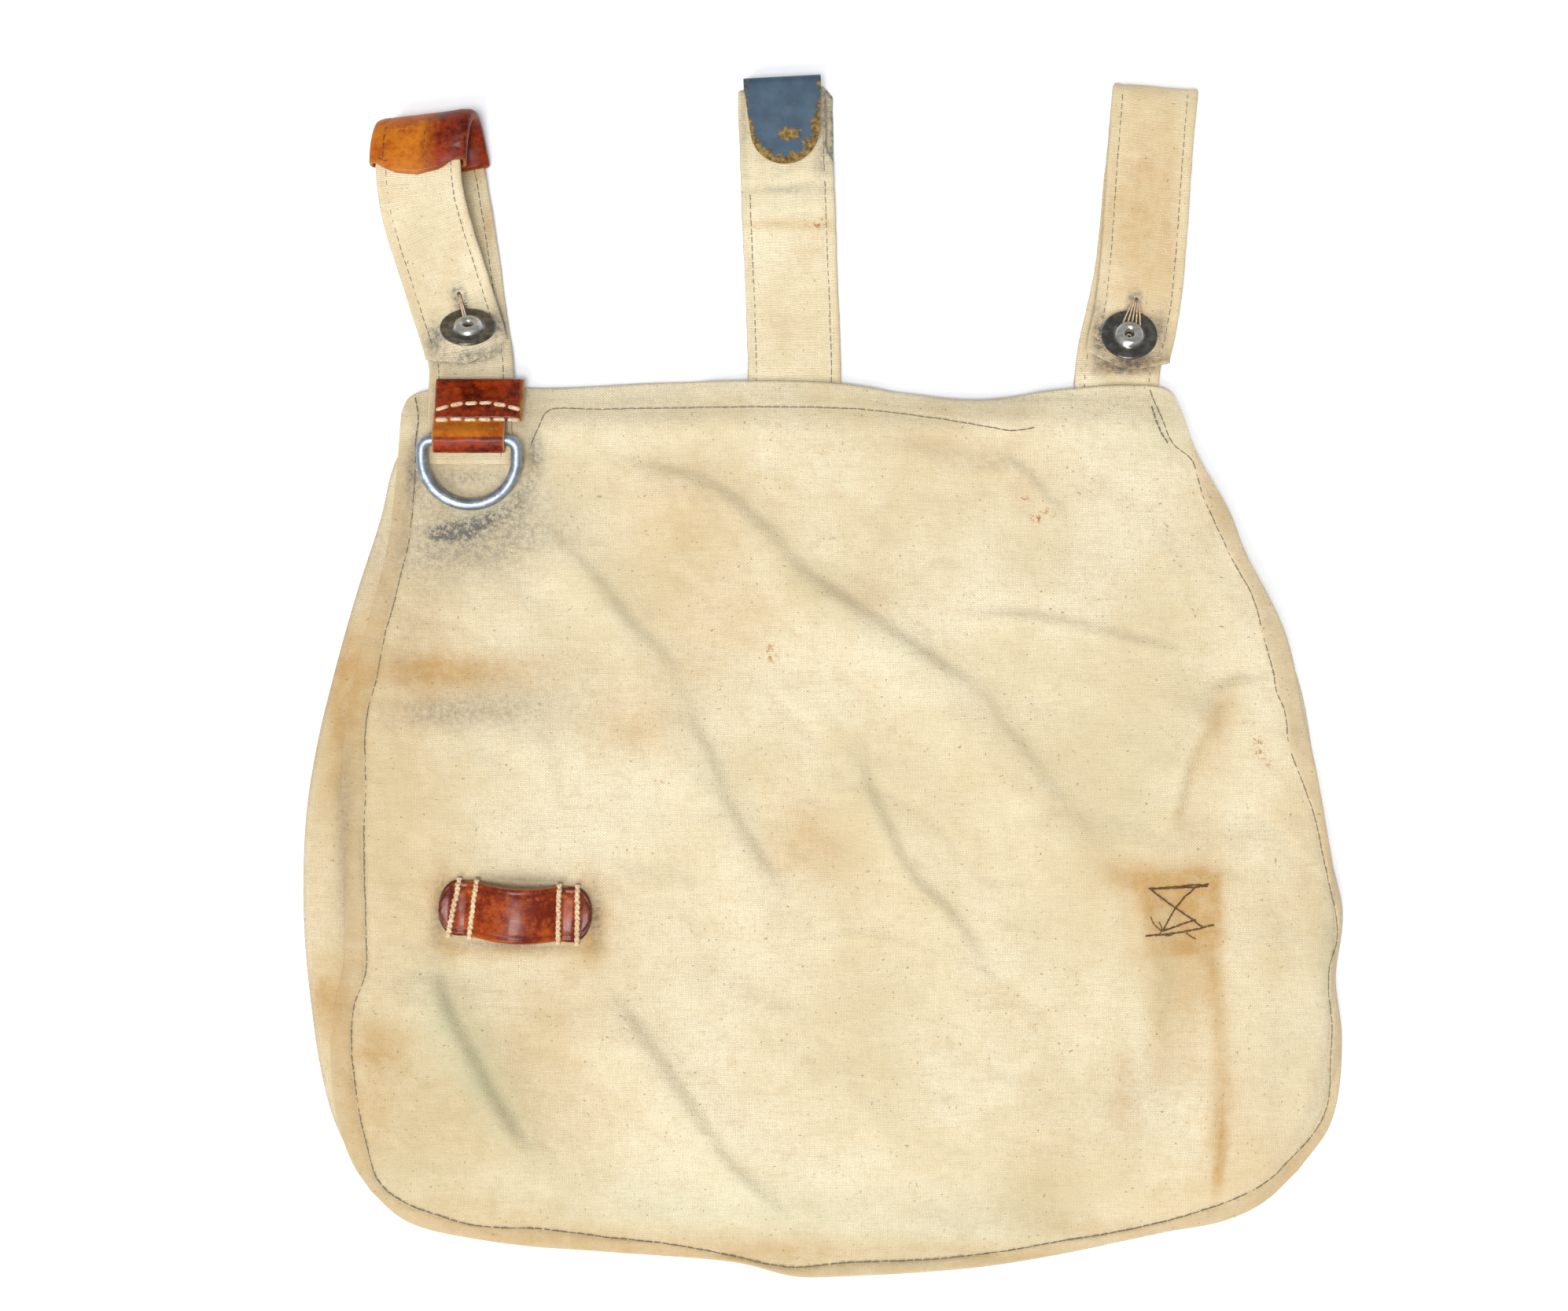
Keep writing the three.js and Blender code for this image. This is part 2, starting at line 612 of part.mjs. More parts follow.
// A buttonhole along a front ply, ending under its button.
function withButtonhole(strap, frame) {
  const depth = 5 * webbing;
  const slot = new THREE.BoxGeometry(buttonholeWidth, buttonholeLength, depth);
  const turn = new THREE.Matrix4().makeBasis(frame.across, frame.along.clone().negate(), frame.inward.clone().negate());
  slot.translate(0, buttonholeLength / 2 - shankRadius - gap, 0).applyMatrix4(turn);
  slot.translate(frame.point.x, frame.point.y, frame.point.z);
  return strap.subtract(solidFrom(slot));
}

// Left belt loop: sewn down over the flap, up, over, and back down to its button.
const seatOnFlap = (x, y) => Math.max(...[-0.5, -0.25, 0, 0.25, 0.5].map((s) => flapTop(x + s * loopWidth, y))) + hemPly;
const leftLead = [leftStrapLap, leftStrapLap * 0.66, leftStrapLap * 0.33, 0].map((down) => ({
  point: new THREE.Vector3(leftRoot, -down, seatOnFlap(leftRoot, -down) + gap + webbing / 2),
  lean: 0,
}));
const leftFrames = strapFrames(leftLoopPath, leftLoopHeight, leftLoopRise, leftRoot, leftLead, 46, 2);
const leftButtonFrame = frontFrame(leftFrames, leftButtonUp * leftLoopHeight, leftButtonAside);
const leftLoop = withButtonhole(strapSolid(leftFrames, loopWidth, webbing, loopPoint), leftButtonFrame);

// Right belt loop: sewn into the top seam.
const tuckedLead = (root) => [strapTuck, 0].map((down) => ({
  point: new THREE.Vector3(root, -down, canvas + strapSeat + webbing / 2),
  lean: 0,
}));
const rightFrames = strapFrames(rightLoopPath, rightLoopHeight, rightLoopRise, rightRoot, tuckedLead(rightRoot), 42, 1);
const rightButtonFrame = frontFrame(rightFrames, rightButtonUp * rightLoopHeight, rightButtonAside);
const rightLoop = withButtonhole(strapSolid(rightFrames, loopWidth, webbing, loopPoint), rightButtonFrame);

// Leather sleeve: wrapped round the left loop's top, over both plies' faces and edges.
const peak = leftFrames.reduce((a, b) => (b.point.y > a.point.y ? b : a));
const peakAt = leftFrames.indexOf(peak);
const sleeveFrames = leftFrames.filter((frame, i) => {
  const drop = peak.point.y - frame.point.y;
  return drop < (i > peakAt ? sleeveFront : sleeveBack);
});
const sleeveAdds = 2 * (sleeveLeather + sleeveEase);
const sleeve = strapSolid(sleeveFrames, loopWidth + sleeveAdds, webbing + sleeveAdds)
  .subtract(strapSolid(leftFrames, loopWidth + 2 * sleeveEase, webbing + 2 * sleeveEase));

// Centre strap: up from the top seam, folded forward at its top, with a slot in the fold for the hook.
const foldRadius = webbing / 2 + gap + hookPlate / 2;
const backPly = webbing / 2 + gap;
const frontPly = backPly + 2 * foldRadius;
const strapTop = centreStrapHeight - webbing / 2 - foldRadius;
const centreLean = 3; // degrees, at the strap's top
const centrePath = [
  { across: 0, up: 0.06 * strapTop, lift: canvas + strapSeat + webbing / 2 - 0.5, lean: 0 },
  { across: -0.004 * strapTop, up: 0.2 * strapTop, lift: backPly, lean: 0.5 },
  { across: -0.016 * strapTop, up: 0.5 * strapTop, lift: backPly, lean: 2 },
  { across: -0.028 * strapTop, up: 0.8 * strapTop, lift: backPly, lean: 3 },
  { across: -0.034 * strapTop, up: strapTop, lift: backPly, lean: 3 },
  { across: -0.034 * strapTop, up: strapTop + foldRadius * 0.7, lift: backPly + foldRadius * 0.3, lean: 3 },
  { across: -0.034 * strapTop, up: strapTop + foldRadius, lift: backPly + foldRadius, lean: 3 },
  { across: -0.034 * strapTop, up: strapTop + foldRadius * 0.7, lift: frontPly - foldRadius * 0.3, lean: 3 },
  { across: -0.034 * strapTop, up: strapTop, lift: frontPly, lean: 3 },
  { across: -0.031 * strapTop, up: strapTop - pocketLength * 0.5, lift: frontPly, lean: 3 },
  { across: -0.028 * strapTop, up: strapTop - pocketLength * 0.9, lift: frontPly - 0.4, lean: 2.5 },
  { across: -0.027 * strapTop, up: strapTop - pocketLength, lift: frontPly - 1.2, lean: 2 },
];
const centreFrames = strapFrames(centrePath, 1, 1, 0, tuckedLead(0), 39, 0);
const hookX = -0.034 * strapTop - hookAside;
const slit = new THREE.BoxGeometry(hookWidth + 2 * gap, 3 * foldRadius + 2 * webbing, hookPlate + 2 * gap);
slit.rotateZ(radians(centreLean)).translate(hookX, centreStrapHeight, backPly + foldRadius);
const centreStrap = strapSolid(centreFrames, centreStrapWidth, webbing).subtract(solidFrom(slit));

// Belt hook: an inner leg between the plies, a bend over the strap's end, and a tongue in front.
const legLevel = backPly + foldRadius;
const tongueLevel = frontPly + webbing / 2 + throat + hookPlate / 2;
const hookTop = gap + hookBend; // above the strap's end
function hookGeometry() {
  const outline = new THREE.Shape();
  const [low, high] = [legLevel - hookPlate / 2, tongueLevel + hookPlate / 2];
  outline.moveTo(hookTop - innerLeg, low);
  outline.lineTo(hookTop - hookBend, low);
  outline.absarc(hookTop - hookBend, low + hookBend, hookBend, -Math.PI / 2, 0, false);
  outline.lineTo(hookTop, high - hookBend);
  outline.absarc(hookTop - hookBend, high - hookBend, hookBend, 0, Math.PI / 2, false);
  outline.lineTo(hookTop - tongueLength, high);
  outline.lineTo(hookTop - tongueLength, high - hookPlate);
  const inner = hookBend - hookPlate;
  outline.lineTo(hookTop - hookBend, high - hookPlate);
  outline.absarc(hookTop - hookBend, high - hookBend, inner, Math.PI / 2, 0, true);
  outline.lineTo(hookTop - hookPlate, low + hookBend);
  outline.absarc(hookTop - hookBend, low + hookBend, inner, 0, -Math.PI / 2, true);
  outline.lineTo(hookTop - innerLeg, low + hookPlate);
  outline.closePath();
  const bent = new THREE.ExtrudeGeometry(outline, { depth: hookWidth, bevelEnabled: false, curveSegments: 5 });
  // The outline was drawn in Y and Z; turn it so that it is extruded along X.
  const turn = new THREE.Matrix4().makeBasis(
    new THREE.Vector3(0, 1, 0), new THREE.Vector3(0, 0, 1), new THREE.Vector3(1, 0, 0));
  bent.applyMatrix4(turn).translate(-hookWidth / 2, 0, 0);
  const plan = new THREE.Shape();
  const tip = hookTipWidth / 2;
  plan.moveTo(-hookWidth / 2, hookTop + 1);
  plan.lineTo(-hookWidth / 2, hookTop - 2);
  plan.lineTo(-tip, hookTop - tongueLength + tip);
  plan.absarc(0, hookTop - tongueLength + tip, tip, Math.PI, 2 * Math.PI, false);
  plan.lineTo(hookWidth / 2, hookTop - 2);
  plan.lineTo(hookWidth / 2, hookTop + 1);
  plan.closePath();
  const trim = new THREE.ExtrudeGeometry(plan, { depth: 4 * tongueLevel, bevelEnabled: false, curveSegments: 10 });
  trim.translate(0, 0, -tongueLevel);
  return geometryFrom(solidFrom(bent).intersect(solidFrom(trim)));
}

// A tin dish button with a raised, pierced middle.
function buttonGeometry() {
  const [r, h] = [buttonRadius, buttonHeight];
  const profile = [
    [buttonBore, 0.55 * h], [0.2 * r, 0.86 * h], [0.32 * r, h], [0.44 * r, 0.8 * h], [0.53 * r, 0.42 * h],
    [0.9 * r, 0.5 * h], [r, 0.36 * h], [0.97 * r, 0.14 * h], [0.52 * r, 0], [buttonBore, 0], [buttonBore, 0.55 * h],
  ].map(([x, y]) => new THREE.Vector2(x, y));
  return new THREE.LatheGeometry(profile.reverse(), 20).rotateX(Math.PI / 2);
}

// Where a button's middle stands above its loop's back ply, tilted to face the loop's top.
function buttonSeat(frame, tilt) {
  const slope = Math.abs(frame.along.z) * buttonRadius;
  const lift = webbing / 2 + 2 * gap + Math.sin(radians(tilt)) * buttonRadius + slope;
  return frame.point.clone().add(new THREE.Vector3(0, 0, lift));
}
// The thread that holds a button stands on the back ply and passes through the buttonhole.
function shankGeometry(frames, frame, seat, tilt) {
  const below = frames.slice(0, Math.floor(frames.length * 0.5))
    .reduce((a, b) => (Math.abs(b.point.y - frame.point.y) < Math.abs(a.point.y - frame.point.y) ? b : a));
  const foot = below.point.z + webbing / 2 + 2 * gap;
  const head = seat.z - gap - shankRadius * Math.tan(radians(tilt)) - gap / Math.cos(radians(tilt));
  const post = new THREE.CylinderGeometry(shankRadius, shankRadius, head - foot, 10).rotateX(Math.PI / 2);
  return post.translate(seat.x, seat.y, (foot + head) / 2);
}

// Leather ring tab: two plies sewn over the left strap, and a roll round the D-ring's bar.
const bore = wireRadius + rollClearance;
const rollRadius = bore + leather;
const seatTop = (y) => seatOnFlap(leftRoot, y) + gap + webbing;
const barY = -(tabLength + rollRadius);
const barZ = Math.max(seatTop(barY), seatTop(barY + rollRadius), seatTop(barY - rollRadius)) + gap + rollRadius;
const plateX = leftRoot + tabAside;
const rollX = leftRoot + rollAside;
function ringTab() {
  const across = (x, y, z, shape, width) => {
    const made = new THREE.ExtrudeGeometry(shape, { depth: width, bevelEnabled: false, curveSegments: 8 });
    const turn = new THREE.Matrix4().makeBasis(
      new THREE.Vector3(0, 1, 0), new THREE.Vector3(0, 0, 1), new THREE.Vector3(1, 0, 0));
    return solidFrom(made.applyMatrix4(turn).translate(x - width / 2, y, z));
  };
  const ply = (topY, lowY) => {
    const steps = 4;
    const seats = Array.from({ length: steps + 1 }, (_, i) => {
      const y = THREE.MathUtils.lerp(topY, lowY, i / steps);
      return [y, Math.max(seatTop(y), seatTop(y - 2), seatTop(y + 2)) + gap];
    });
    const shape = new THREE.Shape();
    shape.moveTo(...seats[0]);
    for (const [y, z] of seats.slice(1)) shape.lineTo(y, z);
    for (const [y, z] of seats.toReversed()) shape.lineTo(y, z + 2 * leather);
    shape.closePath();
    return shape;
  };
  const ring = new THREE.Shape().absarc(0, 0, rollRadius, 0, 2 * Math.PI, false);
  const hole = new THREE.Shape().absarc(0, 0, bore, 0, 2 * Math.PI, false);
  const recess = new THREE.Shape().absarc(0, 0, rollRadius * 0.8, 0, 2 * Math.PI, false);
  const made = across(rollX, 0, 0, ply(-plateLength / 2, barY + rollRadius / 2), rollWidth)
    .subtract(across(rollX, barY, barZ, recess, 2 * rollWidth))
    .add(across(plateX, 0, 0, ply(tabOverhang, -plateLength), tabWidth))
    .add(across(rollX, barY, barZ, ring, rollWidth));
  return geometryFrom(made.subtract(across(plateX, barY, barZ, hole, 2 * tabWidth)));
}

// D-ring: one closed loop of wire, its straight bar through the tab's roll.
function ringGeometry() {
  const half = ringWidth / 2 - wireRadius;
  const sides = 8;
  const path = [];
  const arc = (cx, cy, radius, from, to, count) => {
    for (let i = 0; i <= count; i++) {
      const a = radians(THREE.MathUtils.lerp(from, to, i / count));
      path.push(new THREE.Vector2(cx + radius * Math.cos(a), cy + radius * Math.sin(a)));
    }
  };
  arc(half - ringCorner, -ringCorner, ringCorner, 90, 0, 3);
  arc(0, half - ringReach, half, 0, -180, 18);
  arc(-half + ringCorner, -ringCorner, ringCorner, 180, 90, 3);
  const shell = new Shell();
  const rings = path.map((p, i) => {
    const [before, after] = [path[(i + path.length - 1) % path.length], path[(i + 1) % path.length]];
    const along = after.clone().sub(before).normalize();
    return Array.from({ length: sides }, (_, k) => {
      const a = (k / sides) * 2 * Math.PI;
      const out = Math.cos(a) * wireRadius;
      return shell.add(new THREE.Vector3(p.x - along.y * out, p.y + along.x * out, Math.sin(a) * wireRadius));
    });
  });
  rings.forEach((ring, i) => shell.band(ring, rings[(i + 1) % rings.length], true));
  return shell.geometry();
}
const bowY = barY - ringReach;
const bowSeat = Math.max(...[-0.4, -0.2, 0, 0.2, 0.4].map((s) => flapTop(rollX + s * ringWidth, bowY)));
const bowZ = bowSeat + wireRadius + gap;
const ringTilt = Math.asin((barZ - bowZ) / ringReach);

// Strap keeper: a leather strip sewn down at both ends and bowed up between them.
const keeperX = -0.547 * halfFlap;
const keeperY = -0.583 * flapLength;
function keeperGeometry() {
  const turn = radians(keeperTurn);
  const columns = 26;
  const rows = 5;
  const free = keeperLength - 2 * keeperSewn;
  const grid = Array.from({ length: rows + 1 }, (_, r) =>
    Array.from({ length: columns + 1 }, (_, c) => {
      const along = (c / columns - 0.5) * keeperLength;
      const tipStart = keeperLength / 2 - keeperWidth * 0.36;
      const past = Math.max(0, Math.abs(along) - tipStart) / (keeperLength / 2 - tipStart);
      const halfWidth = (keeperWidth / 2) * Math.sqrt(Math.max(0.08, 1 - 0.92 * past * past));
      const side = (r / rows - 0.5) * 2 * halfWidth;
      const sag = 1.4 * Math.cos((Math.min(1, Math.abs(along) / (free / 2)) * Math.PI) / 2);
      const p = new THREE.Vector2(along, side - sag).rotateAround(new THREE.Vector2(), turn);
      return Object.assign(p.add(new THREE.Vector2(keeperX, keeperY)), { along });
    }),
  );
  return layer(grid, (x, y, r, c) => {
    const along = grid[r][c].along;
    const bow = Math.cos((Math.min(1, Math.abs(along) / (free / 2 + 2)) * Math.PI) / 2) ** 0.8;
    const seat = Math.max(...[-4, 0, 4].flatMap((dx) => [-4, 0, 4].map((dy) => flapTop(x + dx, y + dy))));
    const base = seat + gap + bow * keeperArch;
    return [base, base + leather];
  });
}

// Closing tab: a leather strap hanging from its stitching behind the flap's right side.
function closingTabGeometry() {
  const [columns, rows] = [4, 12];
  const grid = Array.from({ length: rows + 1 }, (_, r) =>
    Array.from({ length: columns + 1 }, (_, c) => new THREE.Vector2(
      closingTabX + (c / columns - 0.5) * closingTabWidth, closingTabTop - (r / rows) * closingTabLength)),
  );
  return layer(grid, (x, y) => {
    const base = pouchFront(x, y) + gap;
    return [base, base + closingTabThickness];
  });
}

// The whole haversack
const haversack = new THREE.Group();
haversack.name = "haversack";
function place(name, geometry, material) {
  const mesh = new THREE.Mesh(geometry, material);
  mesh.name = name;
  haversack.add(mesh);
  return mesh;
}
place("pouch", pouchGeometry(), canvasCloth);
place("flap", flapGeometry(), canvasCloth);
place("belt_loop_left", geometryFrom(leftLoop), strapWebbing);
place("belt_loop_right", geometryFrom(rightLoop), strapWebbing);
place("loop_sleeve", geometryFrom(sleeve), tanLeather);
place("centre_strap", geometryFrom(centreStrap), strapWebbing);
const hook = place("belt_hook", hookGeometry(), paintedSteel);
hook.position.set(hookX, centreStrapHeight, 0);
hook.rotation.z = radians(centreLean);
place("ring_tab", ringTab(), tanLeather);
const ring = place("d_ring", ringGeometry(), aluminium);
ring.position.set(rollX, barY, barZ);
ring.rotation.x = ringTilt;
place("strap_keeper", keeperGeometry(), tanLeather);
place("closing_tab", closingTabGeometry(), tanLeather);
for (const [side, frames, frame, tilt] of [
  ["left", leftFrames, leftButtonFrame, leftButtonTilt],
  ["right", rightFrames, rightButtonFrame, rightButtonTilt],
]) {
  const seat = buttonSeat(frame, tilt);
  const button = place("button_" + side, buttonGeometry(), darkTin);
  button.position.copy(seat);
  button.rotation.x = -radians(tilt);
  place("button_thread_" + side, shankGeometry(frames, frame, seat, tilt), linenThread);
}

// The origin is at the bottom centre of the haversack's box.
const bounds = new THREE.Box3().setFromObject(haversack);
const middle = bounds.getCenter(new THREE.Vector3());
haversack.position.set(-middle.x, -middle.y, -bounds.min.z);

export default haversack;
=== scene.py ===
import math

import bpy
import numpy as np
from mathutils import Matrix, Vector


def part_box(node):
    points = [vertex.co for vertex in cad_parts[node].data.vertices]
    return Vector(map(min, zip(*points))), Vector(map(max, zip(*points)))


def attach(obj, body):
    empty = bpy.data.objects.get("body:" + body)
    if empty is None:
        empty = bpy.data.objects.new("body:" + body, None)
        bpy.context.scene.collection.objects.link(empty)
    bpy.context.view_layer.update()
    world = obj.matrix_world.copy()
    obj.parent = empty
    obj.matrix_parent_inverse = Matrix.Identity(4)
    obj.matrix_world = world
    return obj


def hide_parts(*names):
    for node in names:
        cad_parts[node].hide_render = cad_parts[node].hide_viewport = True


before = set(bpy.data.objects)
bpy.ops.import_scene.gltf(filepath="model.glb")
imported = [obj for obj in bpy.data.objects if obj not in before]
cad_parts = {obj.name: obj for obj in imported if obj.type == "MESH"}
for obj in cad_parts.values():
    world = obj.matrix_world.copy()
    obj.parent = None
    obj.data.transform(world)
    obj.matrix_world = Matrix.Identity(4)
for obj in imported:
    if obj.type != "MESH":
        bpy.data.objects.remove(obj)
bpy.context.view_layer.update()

mm = 0.001

# Everything below is worked out in millimetres from the middle of the bag's top edge.
# X runs right, Y up towards the belt loops, Z up from the table.
# bagTop is where that middle lies in the model.
bagTop = np.array([
    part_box("closing_tab")[0].x / mm - 109.7,
    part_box("closing_tab")[1].y / mm + 156.2,
    0.0,
])
# middle and bagTop are places in dots of the photograph
view = {"height": 1150, "widthSeen": 498.5, "middle": (997, 833), "bagTop": (1010, 487), "dots": 4}


def spot(px, py, lift=0.0):
    # A place read off the photograph. On the table it has so many dots to the millimetre,
    # and what lies higher looks larger.
    nearer = 1 - lift / view["height"]
    (x, y), (topX, topY), dots = view["middle"], view["bagTop"], view["dots"]
    return (x + (px - x) * nearer - topX) / dots, (topY - y - (py - y) * nearer) / dots


def spots(*places, lift=0.0):
    return np.array([spot(*place, lift) for place in places])


# Camera, table and light

studio = {
    "table": (0.94, 0.955, 0.975),
    "sky": (0.97, 0.985, 1.0),
    "skyStrength": 0.50,
    # lamps: where each shines from, strength, and how wide it looks in degrees
    "lamps": {"sideLamp": ((-0.42, -0.80, 1.0), 1.6, 32), "topLamp": ((-0.05, -0.17, 1.0), 1.85, 16)},
}


def placeOf(point):
    return Vector((np.array(point, float) + bagTop) * mm)


def addCamera():
    lens = bpy.data.cameras.new("viewFromAbove")
    lens.sensor_width = 36
    lens.lens = 36 * view["height"] / view["widthSeen"]
    lens.clip_start = 0.01
    lens.clip_end = 10
    camera = bpy.data.objects.new("viewFromAbove", lens)
    x, y = spot(*view["middle"])
    camera.location = placeOf((x, y, view["height"]))
    bpy.context.scene.collection.objects.link(camera)
    bpy.context.scene.camera = camera


def addLamp(name, shinesFrom, strength, spread):
    lamp = bpy.data.lights.new(name, "SUN")
    lamp.energy = strength
    lamp.angle = math.radians(spread)
    light = bpy.data.objects.new(name, lamp)
    light.location = Vector(shinesFrom) * 1.3
    light.rotation_euler = Vector(shinesFrom).to_track_quat("Z", "Y").to_euler()
    bpy.context.scene.collection.objects.link(light)


def addStudio():
    addCamera()
    bpy.context.scene.view_settings.view_transform = "Standard"
    world = bpy.data.worlds.new("softRoom")
    world.use_nodes = True
    sky = world.node_tree.nodes["Background"]
    sky.inputs["Color"].default_value = (*studio["sky"], 1)
    sky.inputs["Strength"].default_value = studio["skyStrength"]
    bpy.context.scene.world = world
    for name, values in studio["lamps"].items():
        addLamp(name, *values)
    bpy.ops.object.select_all(action="DESELECT")
    bpy.ops.mesh.primitive_plane_add(size=6, location=(0, 0, -0.0002))
    table = bpy.context.object
    table.name = "table"
    paper = bpy.data.materials.new("tablePaper")
    paper.use_nodes = True
    finish = paper.node_tree.nodes["Principled BSDF"]
    finish.inputs["Base Color"].default_value = (*studio["table"], 1)
    finish.inputs["Roughness"].default_value = 0.9
    finish.inputs["Specular IOR Level"].default_value = 0.1
    table.data.materials.append(paper)


addStudio()
print("camera, table and light are set")


# Curves and tables

def smoothStep(t):
    t = np.clip(t, 0, 1)
    return t * t * (3 - 2 * t)


def smoothNumber(t):
    t = min(1.0, max(0.0, t))
    return t * t * (3 - 2 * t)


def mixed(a, b, t):
    return a + (b - a) * t


def smoothTable(rows, at):
    # A table of two columns as a smooth function of the first.
    keys, values = np.array(rows, float).T
    t = np.clip(at, keys[0], keys[-1])
    i = np.clip(np.searchsorted(keys, t) - 1, 0, len(keys) - 2)
    before, after = np.maximum(i - 1, 0), np.minimum(i + 2, len(keys) - 1)
    span = keys[i + 1] - keys[i]
    slopeIn = (values[i + 1] - values[before]) / (keys[i + 1] - keys[before]) * span
    slopeOut = (values[after] - values[i]) / (keys[after] - keys[i]) * span
    f = (t - keys[i]) / span
    d = values[i] - values[i + 1]
    curve = ((2 * d + slopeIn + slopeOut) * f - (3 * d + 2 * slopeIn + slopeOut)) * f * f
    return curve + slopeIn * f + values[i]


def curvePoints(points, at):
    # Points on a smooth line through the given ones, at shares 0 to 1 of the points' count.
    p = np.array(points, float)
    p = np.vstack([2 * p[0] - p[1], p, 2 * p[-1] - p[-2]])
    place = np.clip(at, 0, 1) * (len(p) - 3)
    i = np.minimum(place.astype(int), len(p) - 4)
    f = (place - i)[:, None]
    p0, p1, p2, p3 = (p[i + k] for k in range(4))
    spans = [np.maximum(np.linalg.norm(b - a, axis=1), 1e-6) for a, b in ((p0, p1), (p1, p2), (p2, p3))]
    d0, d1, d2 = (span[:, None] ** 0.5 for span in spans)
    m1 = ((p1 - p0) / d0 - (p2 - p0) / (d0 + d1) + (p2 - p1) / d1) * d1
    m2 = ((p2 - p1) / d1 - (p3 - p1) / (d1 + d2) + (p3 - p2) / d2) * d1
    return p1 + m1 * f + (3 * (p2 - p1) - 2 * m1 - m2) * f ** 2 + (2 * (p1 - p2) + m1 + m2) * f ** 3


def lengthsAlong(line):
    return np.concatenate([[0], np.cumsum(np.linalg.norm(np.diff(line, axis=0), axis=1))])


def evenPoints(points, at):
    # The same line at shares of its length.
    share = np.linspace(0, 1, 241)
    length = lengthsAlong(curvePoints(points, share))
    return curvePoints(points, np.interp(at * length[-1], length, share))


def atSpacing(points, step):
    length = lengthsAlong(curvePoints(points, np.linspace(0, 1, 241)))[-1]
    return evenPoints(points, np.linspace(0, 1, max(2, round(length / step) + 1)))


def nearLine(x, y, line):
    # How far each point lies from a line, on which side of it, and how far along it.
    shape = np.shape(x)
    p = np.stack([np.ravel(x), np.ravel(y)], 1)
    nearest, side, along = np.full(len(p), 1e9), np.zeros(len(p)), np.zeros(len(p))
    start = 0.0
    for a, b in zip(line[:-1], line[1:]):
        d = b - a
        size = np.hypot(*d)
        if size == 0:
            continue
        t = np.clip((p - a) @ d / size ** 2, 0, 1)
        off = p - a - t[:, None] * d
        distance = np.hypot(off[:, 0], off[:, 1])
        closer = distance < nearest
        nearest[closer] = distance[closer]
        side[closer] = np.sign(d[0] * off[closer, 1] - d[1] * off[closer, 0])
        along[closer] = start + t[closer] * size
        start += size
    return nearest.reshape(shape), side.reshape(shape), along.reshape(shape) / start


def softNoise(x, y, size, seed):
    # Smooth random swells, from -1 to 1, about one every size millimetres.
    lattice = np.random.RandomState(seed).uniform(-1, 1, (64, 64))
    u, v = np.asarray(x) / size + 31.5, np.asarray(y) / size + 31.5
    i, j = np.floor(u).astype(int), np.floor(v).astype(int)
    f, g = smoothStep(u - i), smoothStep(v - j)
    at = lambda a, b: lattice[(i + a) % 64, (j + b) % 64]
    return mixed(mixed(at(0, 0), at(1, 0), f), mixed(at(0, 1), at(1, 1), f), g)


# Meshes

def meshPiece(name, points, faces, cloth=None, marks=None):
    # Points in millimetres from the bag's top edge. cloth is each point's place on the flat cloth,
    # and marks are named amounts at each point.
    mesh = bpy.data.meshes.new(name)
    places = ((np.asarray(points) + bagTop) * mm).tolist()
    mesh.from_pydata(places, [], faces if isinstance(faces, list) else faces.tolist())
    corners = np.zeros(len(mesh.loops), int)
    mesh.loops.foreach_get("vertex_index", corners)
    if cloth is not None:
        layer = mesh.uv_layers.new(name="cloth")
        layer.data.foreach_set("uv", np.asarray(cloth, np.float32)[corners].ravel())
    for key, amounts in (marks or {}).items():
        mark = mesh.attributes.new(key, "FLOAT", "POINT")
        mark.data.foreach_set("value", np.asarray(amounts, np.float32))
    mesh.polygons.foreach_set("use_smooth", np.ones(len(mesh.polygons), bool))
    piece = bpy.data.objects.new(name, mesh)
    bpy.context.scene.collection.objects.link(piece)
    return piece


def only(piece):
    if bpy.context.object and bpy.context.object.mode != "OBJECT":
        bpy.ops.object.mode_set(mode="OBJECT")
    bpy.ops.object.select_all(action="DESELECT")
    piece.select_set(True)
    bpy.context.view_layer.objects.active = piece


def mend(piece, distance=0.00001):
    # Joins points that lie together, where a distance is given, and turns the faces outwards.
    only(piece)
    bpy.ops.object.mode_set(mode="EDIT")
    bpy.ops.mesh.select_all(action="SELECT")
    if distance:
        bpy.ops.mesh.remove_doubles(threshold=distance)
    bpy.ops.mesh.normals_make_consistent(inside=False)
    bpy.ops.object.mode_set(mode="OBJECT")
    return piece


def modify(piece, kind, **settings):
    only(piece)
    modifier = piece.modifiers.new(kind.title(), kind)
    for key, value in settings.items():
        setattr(modifier, key, value)
    bpy.ops.object.modifier_apply(modifier=modifier.name)
    return piece


def gridFaces(rows, columns, start=0):
    r, c = np.meshgrid(np.arange(rows - 1), np.arange(columns - 1), indexing="ij")
    a = (start + r * columns + c).ravel()
    return np.stack([a, a + 1, a + columns + 1, a + columns], 1)


def tubeFaces(rounds, around, closed=False):
    # Faces between rings of points, and from the last ring to the first where it is closed.
    faces = []
    for r in range(rounds if closed else rounds - 1):
        onwards = around if r < rounds - 1 else -r * around
        for c in range(around):
            a, b = r * around + c, r * around + (c + 1) % around
            faces.append([a, b, b + onwards, a + onwards])
    return faces


def roundEdges(x, y, low, high):
    # Draws the two faces of a sheet together at its edges, in a half round.
    edge = np.minimum.reduce([
        np.hypot(x - x[:, :1], y - y[:, :1]), np.hypot(x - x[:, -1:], y - y[:, -1:]),
        np.hypot(x - x[:1], y - y[:1]), np.hypot(x - x[-1:], y - y[-1:]),
    ])
    middle, half = (low + high) / 2, (high - low) / 2
    opening = np.sqrt(np.maximum(0, 1 - (1 - np.clip(edge / half, 0, 1)) ** 2))
    return middle - half * opening, middle + half * opening


